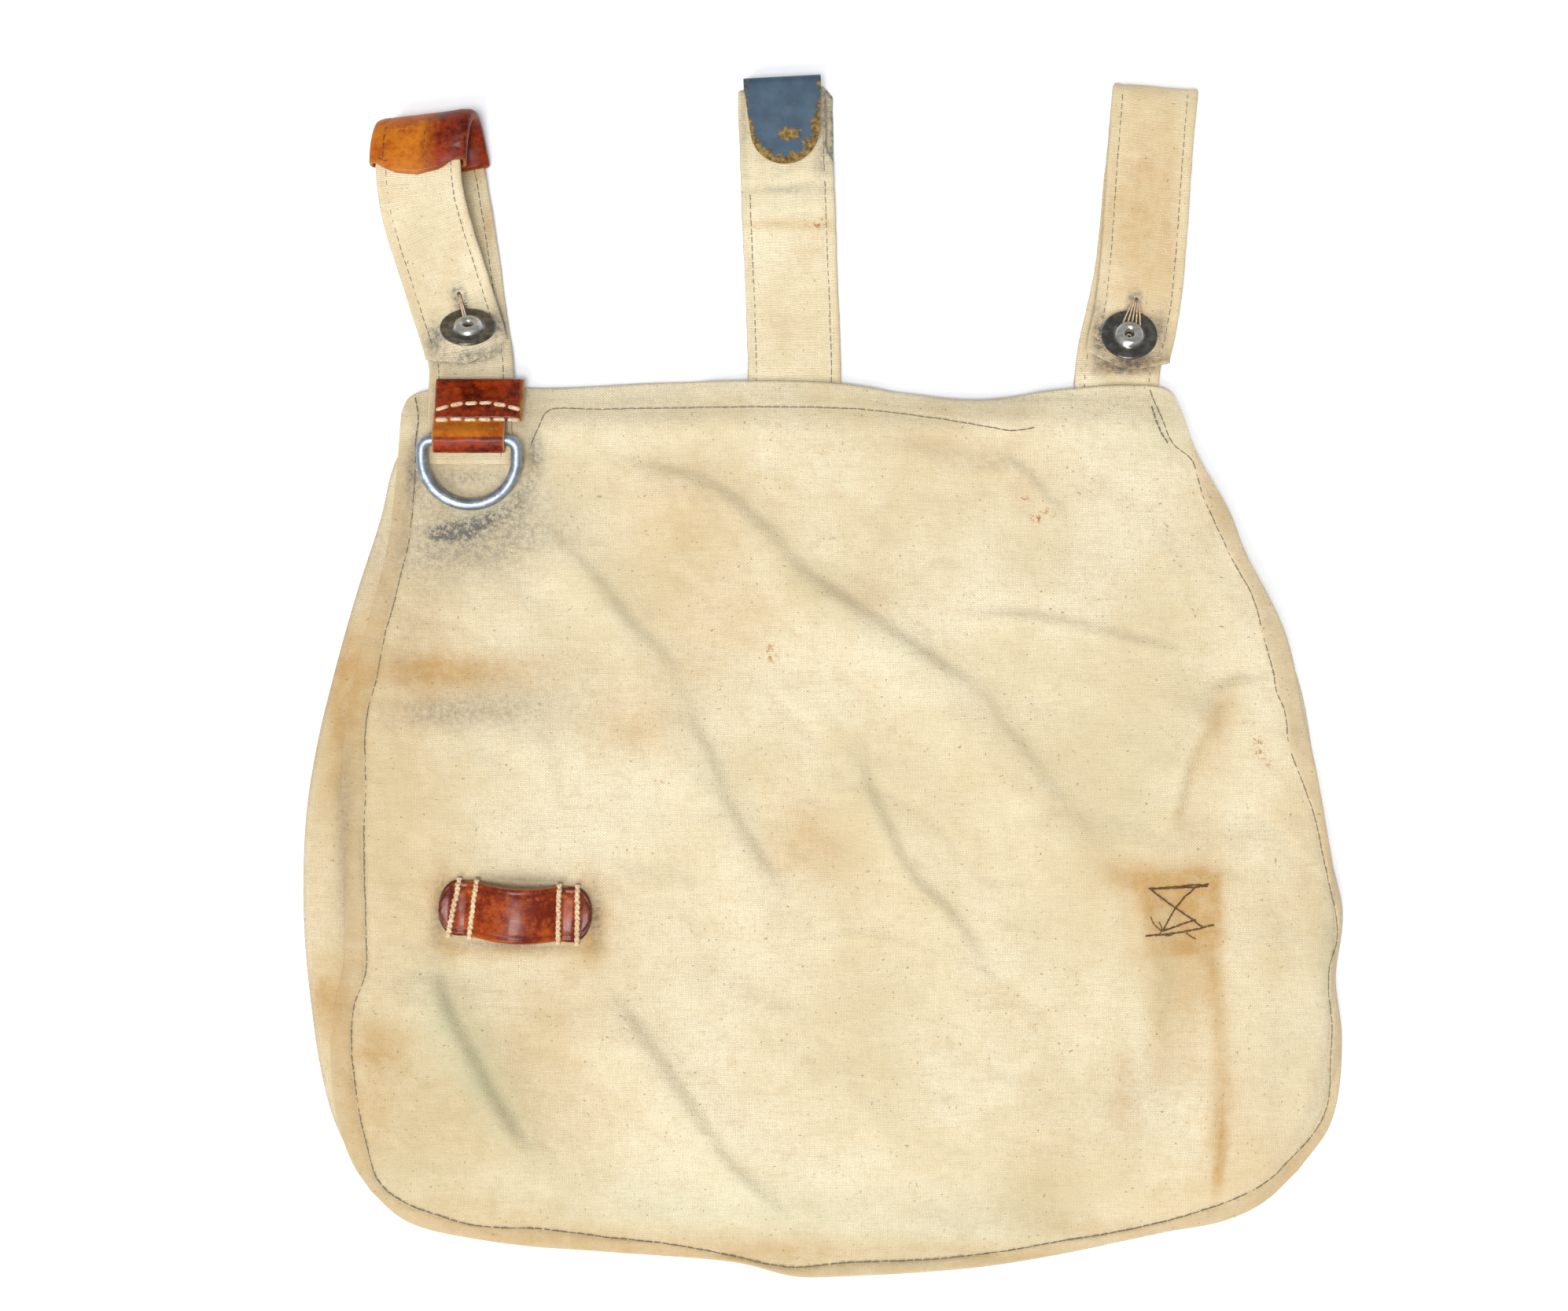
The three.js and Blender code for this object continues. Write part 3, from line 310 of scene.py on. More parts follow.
def slab(name, x, y, low, high, marks):
    # A closed sheet over a plan grid, between two heights at each of its points.
    low, high = roundEdges(x, y, low, high)
    rows, columns = x.shape
    points = np.concatenate([np.stack([x, y, z], 2).reshape(-1, 3) for z in (high, low)])
    faces = np.concatenate([gridFaces(rows, columns), gridFaces(rows, columns, rows * columns)[:, ::-1]])
    plan = np.stack([x, y], 2).reshape(-1, 2)
    both = {key: np.tile(np.ravel(amounts), 2) for key, amounts in marks.items()}
    return mend(meshPiece(name, points, faces, np.tile(plan, (2, 1)), both))


def finished(piece, material, body="bag", replaces=()):
    piece.data.materials.clear()
    piece.data.materials.append(material)
    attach(piece, body)
    if replaces:
        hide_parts(*replaces)
    return piece


# Materials

def add(tree, kind, inputs=None, **settings):
    node = tree.nodes.new("ShaderNode" + kind)
    for key, value in settings.items():
        setattr(node, key, value)
    for key, value in (inputs or {}).items():
        if isinstance(value, bpy.types.NodeSocket):
            tree.links.new(value, node.inputs[key])
        elif value is not None:
            node.inputs[key].default_value = value
    return node


def maths(tree, operation, a, b=None, c=None):
    inputs = {k: v for k, v in enumerate((a, b, c)) if v is not None}
    return add(tree, "Math", inputs, operation=operation).outputs[0]


def blend(tree, amount, a, b, kind="MIX"):
    node = add(tree, "Mix", {0: amount}, data_type="RGBA", blend_type=kind)
    for key, value in ((6, a), (7, b)):
        if isinstance(value, bpy.types.NodeSocket):
            tree.links.new(value, node.inputs[key])
        else:
            node.inputs[key].default_value = (*value, 1)
    return node.outputs[2]


def noise(tree, where, scale, detail=3, rough=0.5, stretch=None):
    if stretch:
        where = add(tree, "Mapping", {"Vector": where, "Scale": stretch}).outputs[0]
    inputs = {"Vector": where, "Scale": scale, "Detail": detail, "Roughness": rough}
    return add(tree, "TexNoise", inputs).outputs[0]


def between(tree, value, low, high, start=0.0, end=1.0):
    inputs = {0: value, 1: low, 2: high, 3: start, 4: end}
    return add(tree, "MapRange", inputs, interpolation_type="SMOOTHSTEP").outputs[0]


def mark(tree, name):
    return add(tree, "Attribute", attribute_name=name).outputs["Fac"]


def newMaterial(name, roughness=0.8, metallic=0.0, specular=0.5):
    made = bpy.data.materials.new(name)
    made.use_nodes = True
    shader = made.node_tree.nodes["Principled BSDF"]
    shader.inputs["Roughness"].default_value = roughness
    shader.inputs["Metallic"].default_value = metallic
    shader.inputs["Specular IOR Level"].default_value = specular
    return made, made.node_tree, shader


def bumps(tree, shader, *layers):
    normal = None
    for height, distance, strength in layers:
        inputs = {"Height": height, "Distance": distance * mm, "Strength": strength}
        if normal is not None:
            inputs["Normal"] = normal
        normal = add(tree, "Bump", inputs).outputs[0]
    tree.links.new(normal, shader.inputs["Normal"])


clothLooks = {
    # weave: millimetres from yarn to yarn, across and along
    "canvas": {
        "light": (0.985, 0.915, 0.70), "dark": (0.79, 0.67, 0.44),
        "weave": (0.46, 0.42), "ribs": False, "relief": 0.17,
    },
    "webbing": {
        "light": (0.95, 0.875, 0.66), "dark": (0.76, 0.64, 0.41),
        "weave": (0.46, 0.52), "ribs": True, "relief": 0.18,
    },
}


def clothMaterial(name, look):
    made, tree, shader = newMaterial(name, roughness=0.92, specular=0.25)
    shader.inputs["Sheen Weight"].default_value = 0.12
    shader.inputs["Sheen Roughness"].default_value = 0.6
    where = add(tree, "TexCoord").outputs["Object"]
    flat = add(tree, "UVMap", uv_map="cloth").outputs[0]
    # yarns wander a little, so the weave isn't a ruled grid
    wander = add(tree, "TexNoise", {"Vector": flat, "Scale": 0.11, "Detail": 2.0}).outputs[1]
    wandered = add(tree, "VectorMath", {0: wander, 1: (0.5, 0.5, 0.5)}, operation="SUBTRACT").outputs[0]
    wandered = add(tree, "VectorMath", {0: wandered, "Scale": 1.8}, operation="SCALE").outputs[0]
    yarnPlace = add(tree, "VectorMath", {0: flat, 1: wandered}, operation="ADD").outputs[0]
    split = add(tree, "SeparateXYZ", {0: yarnPlace})
    across = maths(tree, "SINE", maths(tree, "MULTIPLY", split.outputs[0], math.pi / look["weave"][0]))
    along = maths(tree, "SINE", maths(tree, "MULTIPLY", split.outputs[1], math.pi / look["weave"][1]))
    crossing = maths(tree, "MULTIPLY", across, along)
    # yarns that pass over stand as pearls, and those between them lie a little lower
    warpOver = maths(tree, "POWER", maths(tree, "MAXIMUM", crossing, 0.0), 0.6)
    weftOver = maths(tree, "POWER", maths(tree, "MAXIMUM", maths(tree, "MULTIPLY", crossing, -1.0), 0.0), 0.6)
    crown = maths(tree, "MULTIPLY_ADD", weftOver, 0.42, warpOver)
    uneven = between(tree, noise(tree, flat, 1.3, 1, 0.5), 0.25, 0.75, 0.62, 1.2)
    crown = maths(tree, "MULTIPLY", crown, uneven)
    if look["ribs"]:
        rib = maths(tree, "MULTIPLY", maths(tree, "ABSOLUTE", along), 0.28)
        crown = maths(tree, "MULTIPLY_ADD", crown, 0.72, rib)
    warp = noise(tree, flat, 1.0, 1, stretch=(1.9, 0.09, 1))
    weft = noise(tree, flat, 1.0, 1, stretch=(0.09, 2.1, 1))
    over = between(tree, crossing, -0.25, 0.25)
    yarn = add(tree, "Mix", {0: over, 2: warp, 3: weft}, data_type="FLOAT").outputs[0]
    # broad clouds, yarn by yarn changes, painted shade in the gaps between yarns, then stains and wear
    # together with painted shade and shadows
    clouds = noise(tree, where, 16, 4, 0.6)
    blotches = noise(tree, where, 55, 5, 0.65)
    tone = maths(tree, "MULTIPLY_ADD", clouds, 0.9, maths(tree, "MULTIPLY", blotches, 0.45))
    colour = blend(tree, between(tree, tone, 0.52, 0.90), look["light"], look["dark"])
    mottle = noise(tree, where, 170, 5, 0.7)
    colour = blend(tree, between(tree, mottle, 0.50, 0.72, 0, 0.46), colour, (0.68, 0.56, 0.35))
    fleck = noise(tree, where, 470, 4, 0.7)
    colour = blend(tree, between(tree, fleck, 0.50, 0.70, 0, 0.36), colour, (0.60, 0.52, 0.34))
    colour = blend(tree, between(tree, yarn, 0.48, 0.70, 0, 0.42), colour, (0.62, 0.49, 0.30))
    # painted shade: the low gaps between the yarns' crowns are darkened
    colour = blend(tree, between(tree, crown, 0.80, 0.0, 0, 0.72), colour, (0.48, 0.375, 0.20))
    grain = noise(tree, where, 1500, 2, 0.6)
    colour = blend(tree, between(tree, grain, 0.46, 0.70, 0, 0.42), colour, (0.60, 0.485, 0.30))
    patches = between(tree, noise(tree, where, 150, 5, 0.75), 0.28, 0.72, 0.72, 1.2)
    scratchy = between(tree, noise(tree, where, 820, 2, 0.7), 0.50, 0.58, 0.1, 2.0)
    speckled = between(tree, noise(tree, where, 620, 4, 0.8), 0.36, 0.64, 0.45, 1.45)
    # stains and dirt together with painted shade and shadows: greenShade is painted shade, and the grey and
    # brown marks hold painted shadows too
    for soilAndShade, stainAndShadeColour, most in (
        ("hemTan", (0.50, 0.375, 0.215), 0.85),
        ("brownSoilAndShade", (0.47, 0.27, 0.085), 0.85),
        ("greenShade", (0.46, 0.455, 0.285), 0.62),
        ("greySoilAndShade", (0.095, 0.095, 0.10), 0.9),
        ("rustSoil", (0.36, 0.115, 0.022), 0.95),
    ):
        pattern = {"rustSoil": scratchy, "greySoilAndShade": speckled}.get(soilAndShade, patches)
        amount = maths(tree, "MULTIPLY", mark(tree, soilAndShade), pattern)
        amount = add(tree, "Clamp", {0: maths(tree, "MULTIPLY", amount, most), 2: 0.92}).outputs[0]
        colour = blend(tree, amount, colour, stainAndShadeColour)
    specks = between(tree, noise(tree, where, 900, 1, 0.4), 0.71, 0.78, 0, 0.6)
    colour = blend(tree, specks, colour, (0.22, 0.16, 0.10))
    tree.links.new(colour, shader.inputs["Base Color"])
    bumps(
        tree, shader,
        (noise(tree, where, 90, 4, 0.6), 1.6, 0.4),
        (noise(tree, where, 260, 3, 0.6), 0.5, 0.5),
        (maths(tree, "MULTIPLY_ADD", yarn, 0.5, crown), look["relief"], 0.8),
    )
    return made


leatherLooks = {
    "glossy": {
        "deep": (0.06, 0.004, 0.001), "middle": (0.28, 0.028, 0.001), "scuff": (0.52, 0.14, 0.010),
        "roughness": 0.33, "coat": 0.12, "seed": 0.0,
    },
    "keeper": {
        "deep": (0.13, 0.011, 0.002), "middle": (0.34, 0.056, 0.004), "scuff": (0.48, 0.13, 0.014),
        "roughness": 0.28, "coat": 0.14, "seed": 3.0,
    },
    "tan": {
        "deep": (0.33, 0.068, 0.003), "middle": (0.49, 0.15, 0.007), "scuff": (0.60, 0.25, 0.04),
        "roughness": 0.42, "coat": 0.08, "seed": 7.0,
    },
}


def leatherMaterial(name, look, other=None):
    # other is the look where the mark darkHalf is set.
    made, tree, shader = newMaterial(name, roughness=look["roughness"], specular=0.15)
    shader.inputs["Coat Weight"].default_value = look["coat"]
    shader.inputs["Coat Roughness"].default_value = 0.2
    centre = add(tree, "TexCoord").outputs["Object"]
    apart = (look["seed"], look["seed"] * 0.37, 0)
    where = add(tree, "Mapping", {"Vector": centre, "Location": apart}).outputs[0]
    clouds = noise(tree, where, 110, 5, 0.6)
    fine = noise(tree, where, 520, 4, 0.7)
    tone = maths(tree, "MULTIPLY_ADD", fine, 0.5, maths(tree, "MULTIPLY", clouds, 0.6))

    def hide(kind):
        shade = blend(tree, between(tree, tone, 0.42, 0.68), kind["deep"], kind["middle"])
        broad = noise(tree, where, 190, 6, 0.75)
        rubs = maths(tree, "MULTIPLY_ADD", broad, 0.6, maths(tree, "MULTIPLY", fine, 0.4))
        return blend(tree, between(tree, rubs, 0.55, 0.70, 0, 0.6), shade, kind["scuff"])

    colour = hide(look)
    if other:
        colour = blend(tree, mark(tree, "darkHalf"), colour, hide(other))
    pores = add(tree, "TexVoronoi", {"Vector": where, "Scale": 1700}, feature="DISTANCE_TO_EDGE").outputs[0]
    creases = noise(tree, where, 60, 4, 0.65, stretch=(1.0, 2.6, 1.0))
    # darkened by a mark: burnished edges and lines, and painted shade on the roll's underside and the
    # keeper's sewn ends
    colour = blend(tree, mark(tree, "burnishAndShade"), colour, (0.045, 0.010, 0.008))
    colour = blend(tree, mark(tree, "rawEdge"), colour, (0.40, 0.185, 0.07))
    tree.links.new(colour, shader.inputs["Base Color"])
    rough = between(tree, fine, 0.3, 0.75, look["roughness"] - 0.09, look["roughness"] + 0.22)
    tree.links.new(rough, shader.inputs["Roughness"])
    bumps(
        tree, shader,
        (creases, 0.5, 0.3),
        (between(tree, pores, 0.0, 0.12), 0.03, 0.25),
        (fine, 0.08, 0.2),
    )
    return made


def threadMaterial(name, light, dark, scale=2600):
    made, tree, shader = newMaterial(name, roughness=0.85, specular=0.3)
    where = add(tree, "TexCoord").outputs["Object"]
    fibres = noise(tree, where, scale, 2, 0.6)
    dirt = noise(tree, where, 140, 3, 0.6)
    colour = blend(tree, between(tree, fibres, 0.3, 0.7), dark, light)
    colour = blend(tree, between(tree, dirt, 0.45, 0.75, 0, 0.55), colour, dark)
    tree.links.new(colour, shader.inputs["Base Color"])
    bumps(tree, shader, (fibres, 0.10, 0.6))
    return made


def metalMaterial(name, colour, dull, roughness, metallic=0.9, scratches=0.05, stains=0.6):
    made, tree, shader = newMaterial(name, roughness=roughness, metallic=metallic)
    where = add(tree, "TexCoord").outputs["Object"]
    dents = noise(tree, where, 420, 4, 0.6)
    rub = noise(tree, where, 1.0, 3, 0.7, stretch=(240, 900, 900))
    shade = blend(tree, between(tree, dents, 0.38, 0.68), dull, colour)
    polished = maths(tree, "MULTIPLY", mark(tree, "bright"), between(tree, rub, 0.25, 0.7, 0.6, 1.0))
    shade = blend(tree, polished, shade, (0.50, 0.50, 0.47))
    tarnish = between(tree, noise(tree, where, 170, 5, 0.7), 0.60, 0.70, 0, stains)
    shade = blend(tree, tarnish, shade, tuple(c * 0.35 for c in dull))
    tree.links.new(shade, shader.inputs["Base Color"])
    rough = between(tree, rub, 0.3, 0.7, roughness - 0.08, roughness + 0.16)
    tree.links.new(rough, shader.inputs["Roughness"])
    bumps(tree, shader, (dents, scratches, 0.6), (rub, scratches * 0.5, 0.4))
    return made


def paintedMaterial(name):
    made, tree, shader = newMaterial(name, roughness=0.58, specular=0.22)
    where = add(tree, "TexCoord").outputs["Object"]
    cloud = noise(tree, where, 160, 4, 0.6)
    paint = blend(tree, between(tree, cloud, 0.3, 0.7), (0.036, 0.064, 0.096), (0.055, 0.094, 0.135))
    flakes = noise(tree, where, 1.0, 7, 0.8, stretch=(520, 330, 400))
    chips = maths(tree, "MULTIPLY_ADD", flakes, 0.9, maths(tree, "MULTIPLY", mark(tree, "worn"), 0.52))
    bare = between(tree, chips, 0.665, 0.705)
    rust = between(tree, noise(tree, where, 700, 4, 0.7), 0.35, 0.65)
    under = blend(tree, rust, (0.075, 0.042, 0.012), (0.30, 0.185, 0.045))
    tree.links.new(blend(tree, bare, paint, under), shader.inputs["Base Color"])
    tree.links.new(between(tree, bare, 0, 1, 0.54, 0.70), shader.inputs["Roughness"])
    bumps(tree, shader, (cloud, 0.15, 0.2), (maths(tree, "MULTIPLY", bare, -1.0), 0.05, 0.6))
    return made


canvasCloth = clothMaterial("creamCanvas", clothLooks["canvas"])
strapCloth = clothMaterial("ribbedStrap", clothLooks["webbing"])
glossyLeather = leatherMaterial("glossyLeather", leatherLooks["glossy"])
keeperLeather = leatherMaterial("keeperLeather", leatherLooks["keeper"])
tanLeather = leatherMaterial("tanLeather", leatherLooks["tan"])
sleeveLeather = leatherMaterial("sleeveLeather", leatherLooks["tan"], leatherLooks["glossy"])
hemThread = threadMaterial("greyThread", (0.25, 0.235, 0.185), (0.10, 0.095, 0.07))
brownThread = threadMaterial("brownThread", (0.19, 0.105, 0.05), (0.075, 0.038, 0.018))
linenThread = threadMaterial("linenThread", (0.80, 0.64, 0.43), (0.46, 0.30, 0.16), 1500)
buttonMetal = metalMaterial("darkTin", (0.17, 0.16, 0.14), (0.085, 0.08, 0.07), 0.27, stains=0.25)
ringMetal = metalMaterial(
    "dullAluminium", (0.40, 0.45, 0.52), (0.24, 0.28, 0.34), 0.40, scratches=0.09, stains=0.35)
hookPaint = paintedMaterial("bluePaintedSteel")
print("materials are made")


# The pouch's shape and the flap's height over it

cloth = {"canvas": 1.2, "hem": 0.9, "strap": 1.8, "leather": 1.8, "gap": 0.35}

pouch = {
    "width": 320, "length": 268, "depth": 12.5, "mouthDrop": 20,
    "frontRoll": 24, "backRoll": 4, "seam": 2,
    # down the bag, then the side's share of half the width
    "left": [
        (0, -0.752), (0.06, -0.766), (0.105, -0.797), (0.16, -0.818), (0.25, -0.866), (0.34, -0.908),
        (0.43, -0.944), (0.52, -0.966), (0.64, -0.969), (0.76, -0.95), (0.83, -0.93), (0.88, -0.905),
        (0.925, -0.862), (0.96, -0.79), (0.985, -0.66), (1, -0.5),
    ],
    "right": [
        (0, 0.742), (0.06, 0.76), (0.105, 0.8), (0.16, 0.84), (0.25, 0.915), (0.34, 0.99),
        (0.43, 1.022), (0.52, 1.03), (0.64, 1.032), (0.76, 1.024), (0.83, 1.0), (0.88, 0.965),
        (0.925, 0.91), (0.96, 0.82), (0.985, 0.69), (1, 0.54),
    ],
    "fullness": [
        (0, 0.7), (0.08, 0.74), (0.2, 0.86), (0.4, 0.98), (0.62, 1), (0.82, 0.84), (0.94, 0.56),
        (1, 0.36),
    ],
}

flap = {
    "width": 320, "length": 284, "ease": 0.9, "stiffness": 5, "slope": 0.62,
    "foldRise": 3.2, "foldShift": (-3, -2.5),
    # across as a share of half the width, down as a share of the length
    "top": [
        (-0.777, 0.034), (-0.762, 0.016), (-0.66, 0.004), (-0.48, 0.006), (-0.25, 0), (0.06, 0),
        (0.22, 0.012), (0.36, 0.02), (0.52, 0.009), (0.66, 0.003), (0.74, 0.009), (0.764, 0.032),
    ],
    "left": [
        (-0.777, 0.034), (-0.784, 0.102), (-0.803, 0.19), (-0.843, 0.278), (-0.877, 0.365),
        (-0.889, 0.453), (-0.885, 0.64), (-0.906, 0.7), (-0.912, 0.75), (-0.9, 0.82), (-0.872, 0.868),
        (-0.836, 0.9),
    ],
    "right": [
        (0.764, 0.032), (0.795, 0.08), (0.86, 0.146), (0.889, 0.19), (0.966, 0.278), (1, 0.365),
        (1.034, 0.453), (1.06, 0.53), (1.086, 0.595), (1.069, 0.662), (1.087, 0.738), (1.066, 0.826),
        (1, 0.88),
    ],
    "bottom": [
        (-0.836, 0.9), (-0.767, 0.936), (-0.622, 0.957), (-0.344, 0.972), (-0.11, 0.984), (0.0, 0.999),
        (0.1, 0.999), (0.36, 0.989), (0.547, 0.972), (0.734, 0.949), (0.85, 0.937), (0.93, 0.916),
        (1, 0.88),
    ],
    # folds: from across, down, to across, down, spread, height
    "folds": [
        (-0.47, 0.14, -0.24, 0.34, 0.07, 0.55), (-0.26, 0.33, -0.03, 0.61, 0.075, 0.7),
        (-0.3, 0.08, 0.16, 0.27, 0.1, 0.6), (0.14, 0.24, 0.62, 0.55, 0.09, 0.75),
        (-0.36, 0.7, 0.0, 0.92, 0.08, 0.85), (-0.66, 0.66, -0.46, 0.88, 0.09, 1),
        (0.13, 0.42, 0.38, 0.69, 0.07, 0.6), (0.84, 0.35, 0.7, 0.53, 0.08, 0.8),
        (0.97, 0.6, 0.8, 0.8, 0.1, 0.6),
    ],
}

flapHalf, flapLong = flap["width"] / 2, flap["length"]

roots = {
    "left": -102.25, "right": 102.25, "loopWidth": 27, "centreWidth": 29.8,
    "seat": 0.75, "tuck": 4.5, "leftLap": 26.5,
}
closingTab = {
    "x": 0.77 * flapHalf, "top": -0.55 * flapLong, "width": 27, "length": 90, "thickness": 1.6,
}


def pouchLeft(y):
    return smoothTable(pouch["left"], -y / pouch["length"]) * pouch["width"] / 2


def pouchRight(y):
    return smoothTable(pouch["right"], -y / pouch["length"]) * pouch["width"] / 2


def fullHeight(y):
    down = np.maximum(0, (-y - pouch["mouthDrop"]) / (pouch["length"] - pouch["mouthDrop"]))
    return smoothTable(pouch["fullness"], down) * pouch["depth"]


downThePouch = np.linspace(0, -pouch["length"], 61)
seamLine = np.concatenate([
    [[pouchLeft(0.0), 4 * pouch["frontRoll"]]],
    np.stack([pouchLeft(downThePouch), downThePouch], 1),
    np.stack([pouchRight(downThePouch), downThePouch], 1)[::-1],
    [[pouchRight(0.0), 4 * pouch["frontRoll"]]],
])


def insidePouch(x, y):
    # Distance in from the pouch's seam, negative beyond it.
    distance = nearLine(x, y, seamLine)[0]
    x, y = np.broadcast_arrays(x, y)
    inside = np.zeros(x.shape, bool)
    for (ax, ay), (bx, by) in zip(seamLine, np.roll(seamLine, -1, 0)):
        if ay != by:
            inside ^= ((ay > y) != (by > y)) & (x < ax + (y - ay) / (by - ay) * (bx - ax))
    return np.where(inside, distance, -distance)


def roll(inward, width):
    return np.sqrt(np.maximum(0, 1 - (1 - np.clip(inward / width, 0, 1)) ** 2))


def pouchFront(x, y):
    return fullHeight(y) / 2 * (1 + roll(insidePouch(x, y), pouch["frontRoll"]))


def pouchBack(x, y):
    return fullHeight(y) / 2 * (1 - roll(insidePouch(x, y), pouch["backRoll"]))


def beyond(x, middle, width):
    return np.maximum(0, np.abs(x - middle) - width / 2)


def closingTabLift(x, y, reach, run):
    sideways = 1 - smoothStep(beyond(x, closingTab["x"], closingTab["width"] + reach) / run)
    middle = closingTab["top"] - closingTab["length"] / 2
    along = 1 - smoothStep(beyond(y, middle, closingTab["length"] + reach) / run)
    return sideways * along * (closingTab["thickness"] + cloth["gap"])


def foldHeight(x, y):
    total = 0
    for across, down, toAcross, toDown, spread, height in flap["folds"]:
        sx, sy = flap["foldShift"]
        ax, ay = across * flapHalf + sx, sy - down * flapLong
        bx, by = toAcross * flapHalf + sx, sy - toDown * flapLong
        t = ((x - ax) * (bx - ax) + (y - ay) * (by - ay)) / ((bx - ax) ** 2 + (by - ay) ** 2)
        along = smoothStep(t * 3.5 + 0.5) * smoothStep((1 - t) * 3.5 + 0.5)
        off = np.hypot(x - ax - t * (bx - ax), y - ay - t * (by - ay)) / (spread * flapHalf)
        total = total + height * flap["foldRise"] * along * np.exp(-off * off * 1.6)
    return total


def flapUnder(x, y):
    x, y = np.broadcast_arrays(np.asarray(x, float), np.asarray(y, float))
    inward = insidePouch(x, y) + flap["stiffness"]
    cover = fullHeight(y + flap["stiffness"]) / 2 * (1 + roll(inward, pouch["frontRoll"])) + flap["ease"]
    outside = np.maximum(0, -inward)
    sloping = cover - outside * flap["slope"]
    draped = np.maximum(cloth["gap"], sloping - fullHeight(y) * 0.5 * smoothStep(outside / 12))
    centre = 1 - smoothStep(beyond(x, 0, roots["centreWidth"] + 18) / 9)
    right = 1 - smoothStep(beyond(x, roots["right"], roots["loopWidth"] + 18) / 9)
    edge = cloth["canvas"] + cloth["gap"] + np.maximum(centre, right) * (cloth["strap"] + roots["seat"])
    overMouth = mixed(edge, np.maximum(edge, draped), smoothStep(-y / 16))
    fade = smoothStep((-y - 20) / 20) * smoothStep((inward + 6) / 16)
    return np.where(y > -16, overMouth, draped) + closingTabLift(x, y, 16, 14) + foldHeight(x, y) * fade


def seatOnFlap(x, y):
    under = (float(flapUnder(x + s * roots["loopWidth"], y)) for s in (-0.5, -0.25, 0, 0.25, 0.5))
    return max(under) + cloth["canvas"] + cloth["hem"]


# Creases on top of the flap's main folds: the line, width, and how far the cloth drops across it.
# It drops towards the left of the line as drawn: one drawn down and to the right is shaded above.
creases = [
    (((672, 650), (700, 672), (750, 722), (800, 785), (832, 815), (870, 860)), 3.6, 1.9),
    (((860, 860), (880, 900), (905, 960), (930, 1020), (965, 1085), (1000, 1140)), 2.9, 1.8),
    (((800, 585), (880, 600), (930, 628), (968, 664), (1000, 700)), 4.0, 2.2),
    (((985, 690), (1050, 742), (1110, 782), (1180, 830), (1250, 880)), 3.6, 2.3),
    (((1240, 870), (1290, 930), (1340, 1000), (1420, 1080)), 4.2, 1.2),
    (((548, 1212), (565, 1268), (596, 1332), (634, 1402), (684, 1482)), 4.8, 4.4),
    (((569, 1231), (600, 1290), (625, 1333), (660, 1400), (702, 1476)), 1.3, 1.1),
    (((765, 1245), (830, 1330), (880, 1410), (940, 1490), (1010, 1550)), 3.0, 1.9),
    (((1000, 1577), (1030, 1560), (1065, 1540), (1100, 1510)), 1.6, 0.9),
    (((1105, 930), (1100, 980), (1130, 1050), (1160, 1110), (1210, 1160), (1268, 1255)), 1.9, 1.5),
    (((1020, 1200), (1080, 1185), (1150, 1195), (1210, 1220)), 1.7, 0.8),
    (((1230, 1290), (1260, 1275), (1320, 1285)), 1.7, 0.6),
    (((1480, 1075), (1500, 1035), (1518, 960), (1563, 893)), 2.6, -3.0),
    (((1540, 878), (1568, 862), (1604, 864)), 1.9, 1.5),
    (((1220, 780), (1310, 780), (1410, 800), (1510, 830)), 2.2, 1.4),
    (((1168, 745), (1180, 722), (1200, 712), (1225, 726)), 1.4, 0.8),
    (((1085, 690), (1100, 660), (1125, 638)), 1.6, 0.7),
    (((1255, 568), (1300, 590), (1330, 625), (1352, 655)), 2.2, 1.4),
    (((1250, 1440), (1244, 1510), (1240, 1590)), 2.8, -0.8),
    (((690, 890), (700, 960), (712, 1040)), 3.6, 0.8),
    (((470, 1225), (490, 1170), (522, 1115)), 2.8, -0.9),
    (((1548, 1395), (1553, 1450), (1549, 1516)), 1.1, 1.0),
    (((1576, 1205), (1577, 1300), (1572, 1400)), 2.6, -0.9),
    (((1456, 1205), (1458, 1300), (1466, 1400)), 3.0, 0.8),
    (((980, 720), (1060, 760), (1130, 830)), 4.5, 0.6),
    (((870, 1180), (960, 1260), (1060, 1290)), 5.5, 0.7),
    (((640, 960), (604, 1040), (596, 1112)), 2.4, 0.9),
    (((655, 1010), (640, 1060), (640, 1118)), 1.8, -0.8),
    (((700, 1050), (676, 1090), (668, 1124)), 2.0, 0.7),
    (((566, 1200), (548, 1230), (540, 1275)), 3.0, -1.0),
    (((1380, 600), (1450, 640), (1500, 720)), 4.5, 0.7),
    (((590, 700), (650, 740), (700, 800)), 4.0, 0.8),
    (((1420, 1240), (1380, 1330), (1400, 1450)), 4.0, -0.8),
    (((760, 1080), (820, 1110), (900, 1120)), 3.6, 0.5),
    (((1040, 1330), (1100, 1400), (1180, 1430)), 4.2, 0.6),
    (((536, 500), (538, 545), (535, 592)), 0.9, 0.5),
]
